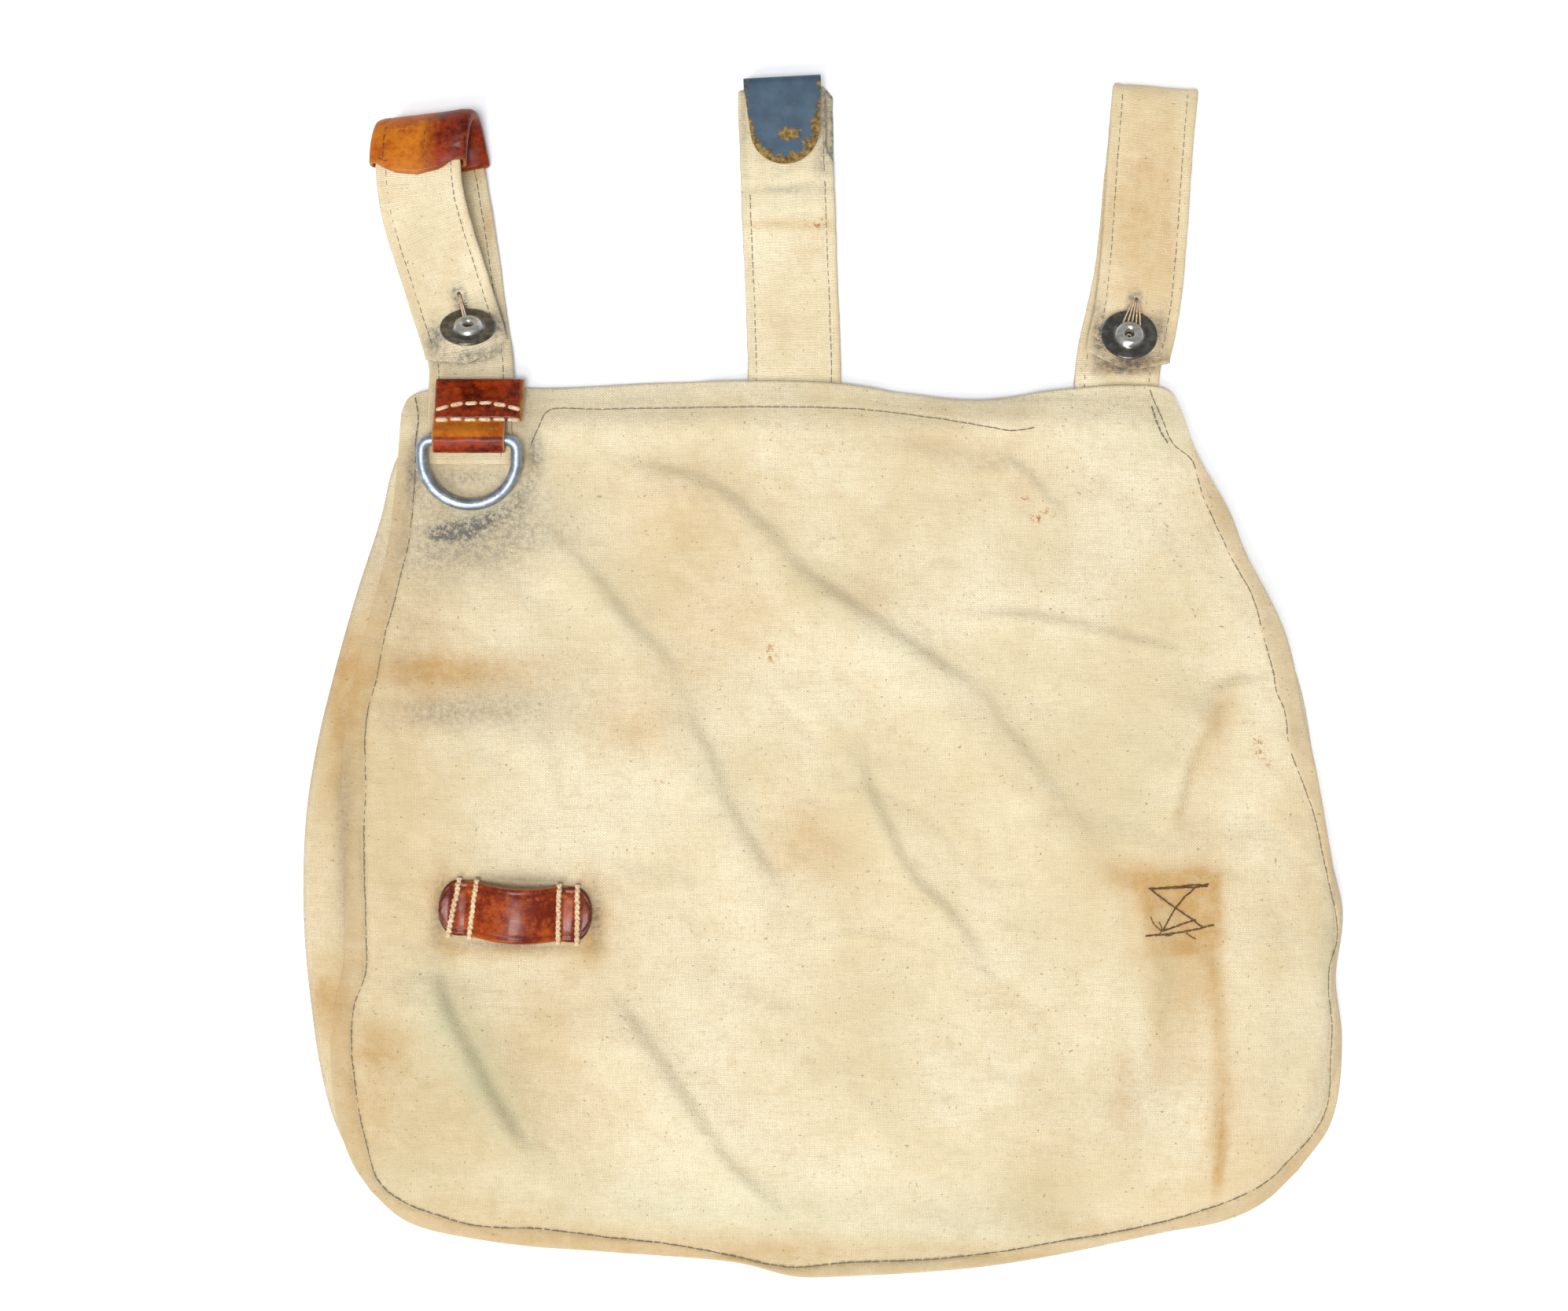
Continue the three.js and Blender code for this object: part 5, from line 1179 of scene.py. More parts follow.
def strapPiece(name, line, width, point, seed, folded=None, hole=None):
    # Two plies sewn together: rounded folded edges with a slit between them, and a groove at each
    # row of stitches. hole is a buttonhole's place along the strap and to the side.
    fine = line.finer(0.9)
    n = len(fine.points)
    half, thick = width / 2, cloth["strap"] / 2
    shares = np.sin(np.linspace(-1, 1, 27) * np.pi / 2 * 0.94) / math.sin(np.pi / 2 * 0.94)
    fromEnd = fine.length[-1] - fine.length
    rows = []
    for k in range(n):
        s, down = shares, fine.length[k]
        edgeWave = 0.22 * softNoise(down, seed * 7.0, 7, seed) + 0.15 * softNoise(down, 40.0, 2.6, seed)
        reach = point * (1 - np.abs(s) ** 1.25) * smoothStep(1 - fromEnd[k] / 6.5) if point else 0 * s
        wide = half - 0.12 + edgeWave * 0.6
        sideways = 0.0
        if folded:  # its right edge lies a little in where the ply behind shows
            pastFold = down - folded["fold"]
            behind = smoothNumber(pastFold / 3)
            upper = smoothNumber((pastFold + 25) / 7) * (1 - behind)
            wide -= folded["narrower"] * upper
            sideways = -folded["narrower"] * upper + folded["aside"] * behind
        fromEdge = half - np.abs(s) * half
        body = thick * np.sqrt(np.maximum(0, 1 - (1 - np.clip(fromEdge / 0.8, 0, 1)) ** 2))
        groove = 0.26 * np.exp(-((fromEdge - 3.0) / 0.75) ** 2)
        pillow = 0.10 * np.exp(-((fromEdge - 1.4) / 0.9) ** 2)
        x = s * half
        swell = 0.20 * softNoise(x, down, 6, seed + 2) + 0.09 * softNoise(x, down, 2.2, seed + 3)
        taper, start = (
            math.sqrt(max(0.0, 1 - (1 - min(1, (far + 0.02) / 0.8)) ** 2)) for far in (fromEnd[k], down))
        shape = (body - groove + pillow) * taper * start
        bend = swell * np.minimum(1, fromEdge / 2) * 0.8
        for place, depth, spread in (folded["creases"] if folded else ()):
            wander = 1.5 * softNoise(x, 3.0, 9, 67)
            bend = bend + depth * np.exp(-((down - place - wander) / spread) ** 2)
        ring = []
        for facing in (1, -1):
            order = slice(None) if facing == 1 else slice(None, None, -1)
            height = (facing * np.maximum(shape, 0.02) + bend)[order]
            here = fine.points[k] + fine.across[k] * (s[order] * wide + sideways)[:, None]
            ring.append(here + fine.inward[k] * height[:, None] + fine.along[k] * reach[order][:, None])
            slit = fine.points[k] + fine.across[k] * (facing * (wide - 0.35) + sideways)
            ring.append(slit[None])
        rows.append(np.concatenate(ring))
    rows = np.array(rows)
    around = rows.shape[1]
    faces = tubeFaces(n, around)
    faces.append(list(range(around))[::-1])
    faces.append([(n - 1) * around + c for c in range(around)])
    u = np.concatenate([shares * half, [half], shares[::-1] * half, [-half]])
    flat = np.stack([np.tile(u, n), np.repeat(fine.length, around)], 1)
    points = rows.reshape(-1, 3)
    marks = soilAndShadeMarks(points[:, 0], points[:, 1])
    edge = np.tile(np.clip(1 - (half - np.abs(u)) / 3.0, 0, 1), n)
    marks["hemTan"] = edge * 0.35 + 0.12 * np.clip(softNoise(points[:, 0], points[:, 1], 14, seed + 9), 0, 1)
    if folded:  # painted shade between the plies at the right
        shadeBetweenPlies = np.exp(-((half - flat[:, 0]) / 1.5) ** 2) * smoothStep((flat[:, 1] - folded["fold"] + 27) / 6)
        marks["greySoilAndShade"] = np.maximum(marks["greySoilAndShade"], 0.75 * shadeBetweenPlies)
    if hole:  # worn grey round the top of the buttonhole
        worn = np.exp(-(((flat[:, 0] - hole[1]) / 2.3) ** 4) - ((flat[:, 1] - hole[0]) / 4.6) ** 4)
        marks["greySoilAndShade"] = np.maximum(marks["greySoilAndShade"], 0.85 * worn)
    return mend(meshPiece(name, points, faces, flat, marks), distance=None)


def nearestAt(line, y, front=True):
    # The length along a strap where its front ply crosses a height above the top edge.
    n = len(line.points)
    picked = np.arange(int(n * 0.55), n) if front else np.arange(0, n // 2)
    return picked[np.argmin(np.abs(line.points[picked, 1] - y))]


# above: how far the slot runs past the button's middle towards the strap's end
buttonhole = {"length": 15.6, "width": 1.3, "above": 1.75}
buttonRadius = 8.9


def cutHole(piece, line, at, aside):
    # A slot with round ends, long enough for the button's shank.
    middle = line.points[at] + line.across[at] * aside
    long, wide = buttonhole["length"], buttonhole["width"]
    bpy.ops.object.select_all(action="DESELECT")
    bpy.ops.mesh.primitive_cylinder_add(vertices=24, radius=wide / 2 * mm, depth=9 * mm)
    slot = bpy.context.object
    bpy.ops.object.mode_set(mode="EDIT")
    bpy.ops.mesh.select_all(action="SELECT")
    bpy.ops.mesh.bisect(plane_co=(0, 0, 0), plane_no=(0, 1, 0))
    bpy.ops.object.mode_set(mode="OBJECT")
    for vertex in slot.data.vertices:
        if vertex.co.y > 1e-7:
            vertex.co.y += (long - wide) * mm
    turn = Matrix((line.across[at], -line.along[at], -line.inward[at])).transposed().to_4x4()
    turn.translation = placeOf(middle + line.along[at] * buttonhole["above"])
    slot.data.transform(turn)
    mend(slot)
    modify(piece, "BOOLEAN", operation="DIFFERENCE", object=slot, solver="EXACT")
    bpy.data.objects.remove(slot)
    return middle


lines = {side: loopLine(side) for side in ("left", "right")}
lines["centre"] = centreLine()
buttonSeats = {}
for side in ("left", "right"):
    s, line = straps[side], lines[side]
    at = nearestAt(line, s["buttonUp"] * s["height"])
    hole = (float(line.length[at]) - 10.6, s["buttonAside"])
    piece = strapPiece(side + "LoopStrap", line, roots["loopWidth"], s["point"], s["seed"], hole=hole)
    seat = cutHole(piece, line, at, s["buttonAside"])
    lift = cloth["strap"] / 2 + 2 * cloth["gap"] + math.sin(math.radians(s["tilt"])) * buttonRadius
    lift += abs(line.along[at][2]) * buttonRadius
    below = line.points[nearestAt(line, seat[1], False)]
    buttonSeats[side] = (seat, seat + np.array([0, 0, lift]), below, at)
    finished(piece, strapCloth, replaces=["belt_loop_" + side])
foldAt = float(lines["centre"].length[np.argmax(lines["centre"].points[:, 1])])
turnedOver = {
    "fold": foldAt, "narrower": 1.0, "aside": 0.5,
    "creases": [  # where along the strap, how deep and how wide
        (foldAt - 30.5, -0.65, 1.2), (foldAt - 28.0, 0.45, 1.6),
        (foldAt - 40.5, -0.3, 1.0), (foldAt - 19, -0.2, 3.0),
    ],
}
piece = strapPiece(
    "centreStrapCloth", lines["centre"], roots["centreWidth"], 0, centre["seed"], folded=turnedOver)
finished(piece, strapCloth, replaces=["centre_strap"])
print("straps are made")


# Leather sleeve on the left loop

sleeve = {"front": 13.8, "back": 15.2, "leather": 1.3, "ease": 0.45, "joint": 0.34, "bulge": 3.6}


def sleeveEdge(share):
    # How much further down the front the lower edge comes, in millimetres, across the strap.
    arc = 1 - np.abs(np.clip((share + 0.10) / 0.78, -1, 1)) ** 2.0
    return sleeve["bulge"] * arc - 1.3 * smoothStep((share - 0.55) / 0.3)


def sleevePart():
    fine = lines["left"].finer(0.7)
    peak = np.argmax(fine.points[:, 1])
    drop = fine.points[peak, 1] - fine.points[:, 1]
    order = np.arange(len(drop))
    reach = np.where(order > peak, sleeve["front"], sleeve["back"])
    return fine.part((drop < reach) & (order > len(order) * 0.2))


def sleeveStreaks(share):
    # Dark lines down the leather: beside the joint and its strip, and where it was creased.
    return sum(dark * np.exp(-((share - place) * sharp) ** 2) for place, dark, sharp in (
        (0.345, 0.8, 30), (0.12, 0.5, 34), (-0.28, 0.42, 16), (-0.14, 0.25, 20), (0.75, 0.35, 6)))


def makeSleeve():
    line = sleevePart()
    n = len(line.points)
    turn = np.linspace(0, 2 * np.pi, 72, endpoint=False)
    power = lambda v, p: np.sign(v) * np.abs(v) ** p
    loops = []
    for wall, swell in (("outer", 1.0), ("inner", 0.0)):
        wide = roots["loopWidth"] / 2 + sleeve["ease"] + sleeve["leather"] * swell
        thick = cloth["strap"] / 2 + sleeve["ease"] + sleeve["leather"] * swell
        x = power(np.cos(turn), 0.34) * wide
        z = power(np.sin(turn), 0.62) * thick
        share = x / wide
        upper = smoothStep(0.5 - z / thick)  # 1 on the face away from the loop's inside
        rows = []
        for k in range(n):
            down = line.length[k]
            toEnd = line.length[-1] - down
            reach = sleeveEdge(share) * smoothStep(1 - toEnd / 9) * upper
            reach = reach + 0.8 * smoothStep(1 - toEnd / 4) * (1 - upper)
            strip = 1 + 0.7 * smoothStep((share - sleeve["joint"] + 0.22) * 30)
            strip = smoothStep((sleeve["joint"] - share) * 30) * strip
            overlap = 0.40 * strip * upper if wall == "outer" else 0
            stitched = np.exp(-((share + 0.70) * 14) ** 2) + np.exp(-((share - 0.13) * 14) ** 2)
            stitched = 0.22 * stitched * upper * swell
            grain = 0.16 * softNoise(x, down + 5 * upper, 5, 71) + 0.10 * softNoise(x, down, 2, 73)
            outwards = overlap - stitched + grain * swell
            rows.append(
                line.points[k] + line.across[k] * (x + 0.1 * np.sign(x) * outwards)[:, None]
                + line.inward[k] * (z + np.sign(z) * outwards)[:, None] + line.along[k] * reach[:, None])
        loops.append(np.array(rows))
    outer, inner = loops
    startMid = mixed(outer[0], inner[0], 0.5) - line.along[0] * 0.55
    endMid = mixed(outer[-1], inner[-1], 0.5) + line.along[-1] * 0.55
    rings = np.concatenate([outer, endMid[None], inner[::-1], startMid[None]])
    total, around = rings.shape[:2]
    faces = tubeFaces(total, around, closed=True)
    share = power(np.cos(turn), 0.34)
    upper = smoothStep(0.5 - power(np.sin(turn), 0.62))
    dark = np.maximum(smoothStep((share - sleeve["joint"]) * 40), smoothStep((0.45 - upper) * 6))
    dark = np.tile(dark, total)
    isOuter = np.repeat(np.arange(total) <= n, around)
    rim = np.zeros((total, around))
    for r, amount in ((n, 1.0), (n - 1, 0.35), (total - 1, 1.0)):
        rim[r] = amount
    points = rings.reshape(-1, 3)
    wide = np.tile(share * 15, total)
    flat = np.stack([wide, np.repeat(np.arange(total), around) * 0.7], 1)
    piece = meshPiece("loopSleeve", points, faces, flat, {
        "darkHalf": np.where(isOuter, dark, 1.0),
        "rawEdge": rim.ravel() * 0.5,
        "burnishAndShade": np.tile(upper * sleeveStreaks(share), total),
    })
    mend(piece, distance=None)
    finished(piece, sleeveLeather, replaces=["loop_sleeve"])
    return line


sleeveLine = makeSleeve()
print("leather sleeve is made")


# Pieces drawn out: strips of plate and leather, turned and bent parts

def pick(piece, wanted):
    # Selects the points of a piece in edit mode that a test wants.
    bpy.ops.object.mode_set(mode="OBJECT")
    for vertex in piece.data.vertices:
        vertex.select = bool(wanted(vertex.co))
    for edge in piece.data.edges:
        edge.select = all(piece.data.vertices[i].select for i in edge.vertices)
    for face in piece.data.polygons:
        face.select = all(piece.data.vertices[i].select for i in face.vertices)
    bpy.ops.object.mode_set(mode="EDIT")


def drawStrip(name, rows, cuts):
    # rows: y, z and width along the strip, whose width lies along X. Millimetres from its own middle.
    (y, z, wide) = rows[0]
    bpy.ops.object.select_all(action="DESELECT")
    bpy.ops.mesh.primitive_plane_add(size=wide * mm, location=(0, 0, 0))
    piece = bpy.context.object
    piece.name = name
    bpy.ops.object.mode_set(mode="EDIT")
    bpy.ops.mesh.select_mode(type="VERT")
    pick(piece, lambda co: co.y > 0)
    bpy.ops.mesh.delete(type="VERT")
    bpy.ops.mesh.select_all(action="SELECT")
    bpy.ops.transform.translate(value=(0, (y + wide / 2) * mm, z * mm))
    bpy.ops.mesh.subdivide(number_cuts=cuts)
    for (y, z, wide), (nextY, nextZ, nextWide) in zip(rows, rows[1:]):
        step = (0, (nextY - y) * mm, (nextZ - z) * mm)
        bpy.ops.mesh.extrude_edges_move(TRANSFORM_OT_translate={"value": step})
        if abs(nextWide - wide) > 1e-6:
            middle = (0, nextY * mm, nextZ * mm)
            bpy.ops.transform.resize(value=(nextWide / wide, 1, 1), center_override=middle)
    bpy.ops.object.mode_set(mode="OBJECT")
    return piece


def drawTurned(name, profile, sides):
    # A turned piece round Z: rings of radius and height, joined up into one closed wall.
    (radius, height) = profile[0]
    bpy.ops.object.select_all(action="DESELECT")
    bpy.ops.mesh.primitive_circle_add(vertices=sides, radius=radius * mm, location=(0, 0, height * mm))
    piece = bpy.context.object
    piece.name = name
    bpy.ops.object.transform_apply(location=True)
    bpy.ops.object.mode_set(mode="EDIT")
    bpy.ops.mesh.select_all(action="SELECT")
    for (r, h), (nextR, nextH) in zip(profile, profile[1:] + profile[:1]):
        bpy.ops.mesh.extrude_edges_move(TRANSFORM_OT_translate={"value": (0, 0, (nextH - h) * mm)})
        bpy.ops.transform.resize(value=(nextR / r, nextR / r, 1), center_override=(0, 0, nextH * mm))
    bpy.ops.object.mode_set(mode="OBJECT")
    return mend(piece)


def setDown(piece, point, tilt=0.0, spin=0.0):
    # Puts a piece made round its own middle in its place on the bag.
    turn = Matrix.Rotation(spin, 4, "Z") @ Matrix.Rotation(tilt, 4, "X")
    turn.translation = placeOf(point)
    piece.data.transform(turn)
    piece.data.update()
    return piece


def bevel(piece, width, segments):
    sharp = {"limit_method": "ANGLE", "angle_limit": math.radians(50)}
    modify(piece, "BEVEL", width=width * mm, segments=segments, **sharp)


def smoothed(piece, angle=50):
    only(piece)
    bpy.ops.object.shade_smooth_by_angle(angle=math.radians(angle))
    return piece


def giveMark(piece, name, amount):
    # amount is a function of a point's place
    values = piece.data.attributes.new(name, "FLOAT", "POINT").data
    for vertex, value in zip(piece.data.vertices, values):
        value.value = amount(vertex.co)


hook = {
    "width": 24.4, "tip": 21.8, "tongue": 27.7, "bend": 2.5, "leg": 26, "legStep": 2.2,
    "plate": 1.2, "throat": 4.7, "aside": 0.7, "round": 0.35,
}


def makeHook():
    plate, bend, top = hook["plate"], hook["bend"] - hook["plate"] / 2, cloth["gap"] + hook["bend"]
    low = backPly + foldRadius
    high = frontPly + cloth["strap"] / 2 + hook["throat"] + plate / 2
    legSteps = range(int((hook["leg"] - hook["bend"]) / hook["legStep"]) + 1)
    rows = [(top - hook["leg"] + k * hook["legStep"], low, hook["width"]) for k in legSteps]
    lowBend, highBend = low + bend, high - bend
    for start, height in ((-90, lowBend), (0, highBend)):
        for k in range(7):
            a = math.radians(start + 15 * k)
            rows.append((top - hook["bend"] + bend * math.cos(a), height + bend * math.sin(a), hook["width"]))
    end, radius = top - hook["tongue"], hook["tip"] / 2
    shoulder = end + radius
    for k in range(1, 7):
        t = k / 6
        wide = mixed(hook["width"], hook["tip"], t)
        rows.append((mixed(top - hook["bend"], shoulder, t), high + 0.12 * math.sin(t * 3), wide))
    for k in range(1, 13):
        a = math.radians(90 * k / 12 * 0.97)
        rows.append((shoulder - radius * math.sin(a), high, hook["tip"] * math.cos(a)))
    piece = drawStrip("beltHook", rows, 11)
    mend(piece)
    modify(piece, "SOLIDIFY", thickness=plate * mm, offset=0, use_even_offset=True)
    mend(piece)
    bevel(piece, hook["round"], 3)
    giveMark(piece, "worn", lambda co: hookWear(co.x / mm, co.y / mm, co.z / mm, high, end, radius))
    place = (-0.034 * strapTop - hook["aside"], centre["height"], 0)
    setDown(piece, place, spin=math.radians(centre["lean"]))
    finished(smoothed(piece), hookPaint, replaces=["belt_hook"])


def hookWear(x, y, z, high, end, radius):
    # Bare metal at the tip, along the right side, in a rub across the middle and on the edges.
    if z < high - 1.5:
        return 0.1
    middle = end + radius
    fromEdge = radius - math.hypot(x, min(0, y - middle)) if y < middle else radius - abs(x)
    rim = math.exp(-max(0, fromEdge) / 0.9) * (1.0 if y < middle + 4 else 0.45)
    low = math.exp(-max(0, fromEdge) / 3.6) * smoothNumber((middle + 2 - y) / 5)
    rub = 0.95 * math.exp(-((x - 1.2) / 4.6) ** 2 - ((y - end - 9.3) / 2.0) ** 2)
    side = 0.7 * math.exp(-((x - 9.5) / 1.6) ** 2 - ((y - end - 11.0) / 5.5) ** 2)
    return min(1.0, max(rim, 0.85 * low, rub, side))


makeHook()

button = {"radius": buttonRadius, "bore": 1.3, "height": 2.9, "sides": 64}


def makeButton(side):
    r, h, b = button["radius"], button["height"], button["bore"]
    profile = [
        (b, 0.50 * h), (b + 0.12, 0.64 * h), (0.19 * r, 0.84 * h), (0.26 * r, 0.96 * h),
        (0.34 * r, 1.0 * h), (0.42 * r, 0.93 * h), (0.48 * r, 0.76 * h), (0.525 * r, 0.55 * h),
        (0.56 * r, 0.42 * h), (0.60 * r, 0.38 * h), (0.68 * r, 0.40 * h), (0.80 * r, 0.46 * h),
        (0.90 * r, 0.50 * h), (0.96 * r, 0.50 * h), (0.99 * r, 0.44 * h), (1.0 * r, 0.34 * h),
        (0.99 * r, 0.22 * h), (0.96 * r, 0.15 * h), (0.80 * r, 0.10 * h), (0.52 * r, 0.02 * h),
        (b + 0.2, 0.0), (b, 0.06 * h),
    ]
    piece = drawTurned("button_" + side + "_dish", profile, button["sides"])
    inTheMiddle = lambda co: smoothNumber((0.56 * r - math.hypot(co.x, co.y) / mm) / 0.7)
    giveMark(piece, "bright", lambda co: inTheMiddle(co) if co.z > 0.35 * h * mm else 0.0)
    piece.data.polygons.foreach_set("use_smooth", np.ones(len(piece.data.polygons), bool))
    setDown(piece, buttonSeats[side][1], tilt=-math.radians(straps[side]["tilt"]))
    finished(smoothed(piece, 60), buttonMetal, replaces=["button_" + side])


for side in ("left", "right"):
    makeButton(side)

ring = {
    "wire": 1.85, "width": 33.5, "reach": 20.6, "corner": 3,
    "bar": (-101.85, -19.1, 18.35), "tilt": 0.2427,
}


def makeRing():
    # A round section swept along the straight bar, the corners and the bow.
    half = ring["width"] / 2 - ring["wire"]
    corner, wire = ring["corner"], ring["wire"]
    drop = half - ring["reach"]  # where the bow's arc begins
    bpy.ops.object.select_all(action="DESELECT")
    upright = (0, math.pi / 2, 0)
    bpy.ops.mesh.primitive_circle_add(vertices=20, radius=wire * mm, location=(0, 0, 0), rotation=upright)
    piece = bpy.context.object
    piece.name = "dRing"
    bpy.ops.object.transform_apply(location=True, rotation=True)
    bpy.ops.object.mode_set(mode="EDIT")
    bpy.ops.mesh.select_all(action="SELECT")
    straight = lambda x, y: bpy.ops.mesh.extrude_edges_move(
        TRANSFORM_OT_translate={"value": (x * mm, y * mm, 0)})
    bent = lambda x, y, turn, steps: bpy.ops.mesh.spin(
        steps=steps, angle=math.radians(turn), center=(x * mm, y * mm, 0), axis=(0, 0, 1),
        use_auto_merge=False)
    straight(half - corner, 0)
    bent(half - corner, -corner, 90, 8)
    straight(0, drop + corner)
    bent(0, drop, 180, 48)
    straight(0, -drop - corner)
    bent(-half + corner, -corner, 90, 8)
    straight(half - corner, 0)
    bpy.ops.object.mode_set(mode="OBJECT")
    mend(piece, 0.00003)
    for vertex in piece.data.vertices:  # the wire is a little uneven
        x, y = vertex.co.x / mm, vertex.co.y / mm
        swell = 1 + 0.025 * float(softNoise(x, y, 5, 81))
        vertex.co.z *= swell
    setDown(piece, ring["bar"], tilt=ring["tilt"])
    finished(smoothed(piece, 80), ringMetal, body="ring", replaces=["d_ring"])


makeRing()
print("metal pieces are made")


# Ring tab: two plies sewn over the left strap, and a roll round the ring's bar

tab = {
    "width": 27.6, "plate": 13, "overhang": 0.7, "aside": 3.2, "thick": 3.75,
    "rollWidth": 23, "rollAside": 0.4, "bore": 2.3,
}


def tabSeat(y):
    top = max(seatOnFlap(roots["left"], y + d) for d in (-2, 0, 2))
    return top + 2 * cloth["gap"] + cloth["strap"]


def makeTab():
    x0 = roots["left"] + tab["aside"]
    ys = np.linspace(tab["overhang"], -tab["plate"], 40)
    seats = np.array([tabSeat(y) for y in ys])
    seats = np.convolve(np.pad(seats, 4, mode="edge"), np.ones(9) / 9, mode="valid")
    left = -0.5
    for name, material, low, high, right, seed in (
        ("ringTabLowerPly", tanLeather, 0.0, 1.75, 0.5, 91),
        ("ringTabUpperPly", glossyLeather, 1.8, tab["thick"], 0.465, 93),
    ):
        shares = left + (right - left) * (np.sin(np.linspace(-1, 1, 60) * np.pi / 2) * 0.5 + 0.5)
        xs, yy = np.meshgrid(shares * tab["width"], ys)
        base = np.repeat(seats[:, None], len(shares), 1)
        wave = 0.18 * softNoise(xs, yy, 6, seed) + 0.08 * softNoise(xs, yy, 2.5, seed + 1)
        edge = 0.35 * softNoise(xs * 0.3, yy, 3.5, seed + 2) * np.abs(xs / tab["width"] * 2) ** 6
        crown = 0.35 * (1 - (2 * xs / tab["width"]) ** 4)
        dent = 0.0
        if name == "ringTabUpperPly":
            for rowY, depth in ((-8.2, 0.55), (-12.6, 0.5)):
                arch = 1.1 * (1 - (xs / 9) ** 2) * (rowY > -10)
                dent = dent + depth * np.exp(-((yy - rowY - arch) / 0.75) ** 2)
        top = base + high + wave + crown - dent
        border = np.minimum(tab["width"] / 2 - np.abs(xs), 3)
        marks = {
            "rawEdge": np.clip(1 - border / 0.5, 0, 1) * (0.9 if low > 1 else 1.0) * (xs > 0),
            "burnishAndShade": np.clip(1 - border / 0.9, 0, 1) * 0.45 * (xs < 0),
        }
        piece = slab(name, x0 + xs + edge, yy, base + low, top, marks)
        finished(piece, material, replaces=["ring_tab"] if low > 1 else ())
    cx, cz = roots["left"] + tab["rollAside"], ring["bar"][2]
    barY, radius, skin = ring["bar"][1], tab["bore"] + 0.85, 1.6
    plateZ = seats[-1] + 1.9
    rows = [(y - barY, plateZ + rise - cz) for y, rise in ((-11.2, 0.6), (-12.4, 0.7), (-13.5, 1.0))]
    leaveY, leaveZ = rows[-1]
    entryAngle = 28
    entryY = radius * math.sin(math.radians(entryAngle))
    entryZ = radius * math.cos(math.radians(entryAngle))
    for t in (0.25, 0.5, 0.75):
        rows.append((mixed(leaveY, entryY, t), mixed(leaveZ, entryZ, smoothNumber(t))))
    for k in range(25):
        a = math.radians(entryAngle - 11.4 * k)
        rows.append((radius * math.sin(a), radius * math.cos(a)))
    rows.append((rows[-1][0] + 1.2, rows[-1][1] + 0.1))
    piece = drawStrip("ringTabRoll", [(y, z, tab["rollWidth"] - 0.3) for y, z in rows], 15)
    modify(piece, "SOLIDIFY", thickness=skin * mm, offset=0, use_even_offset=True)
    mend(piece)
    bevel(piece, 0.3, 2)
    modify(piece, "SUBSURF", levels=1, render_levels=1)
    half = tab["rollWidth"] / 2
    giveMark(piece, "rawEdge", lambda co: smoothNumber((abs(co.x) / mm - half + 0.75) / 0.4))
    giveMark(piece, "darkHalf", lambda co: smoothNumber((1.3 - co.y / mm) / 1.0))
    # painted shade: the roll is darker towards its underside
    giveMark(piece, "burnishAndShade", lambda co: 0.3 * smoothNumber((-co.z / mm) / 3))
    for vertex in piece.data.vertices:
        x, y, z = (c / mm for c in vertex.co)
        swell = 0.14 * float(softNoise(x, math.degrees(math.atan2(z, y)) / 9, 3.5, 97))
        away = Vector((0, y, z)).normalized() if math.hypot(y, z) > 0.5 else Vector((0, 0, 0))
        vertex.co += away * max(0.0, swell) * mm
    setDown(piece, (cx, barY, cz))
    finished(smoothed(piece, 60), sleeveLeather)


makeTab()

keeper = {
    "length": 48, "width": 17.4, "arch": 4.8, "sewn": 11, "turn": -3.5,
    "x": -0.547 * flapHalf, "y": -0.583 * flapLong - 1.1,
}


def keeperBase(x, y, along):
    free = keeper["length"] - 2 * keeper["sewn"]
    bow = np.maximum(0, np.cos(np.minimum(1, np.abs(along) / (free / 2 + 2)) * np.pi / 2)) ** 0.8
    near = [flapUnder(x + dx, y + dy) for dx in (-4, 0, 4) for dy in (-4, 0, 4)]
    return np.max(near, axis=0) + cloth["canvas"] + cloth["gap"] + bow * keeper["arch"]


def keeperPlace(along, side):
    free = keeper["length"] - 2 * keeper["sewn"]
    sag = 1.4 * np.cos(np.minimum(1, np.abs(along) / (free / 2)) * np.pi / 2)
    a = math.radians(keeper["turn"])
    y, c, s = side - sag, math.cos(a), math.sin(a)
    return keeper["x"] + along * c - y * s, keeper["y"] + along * s + y * c


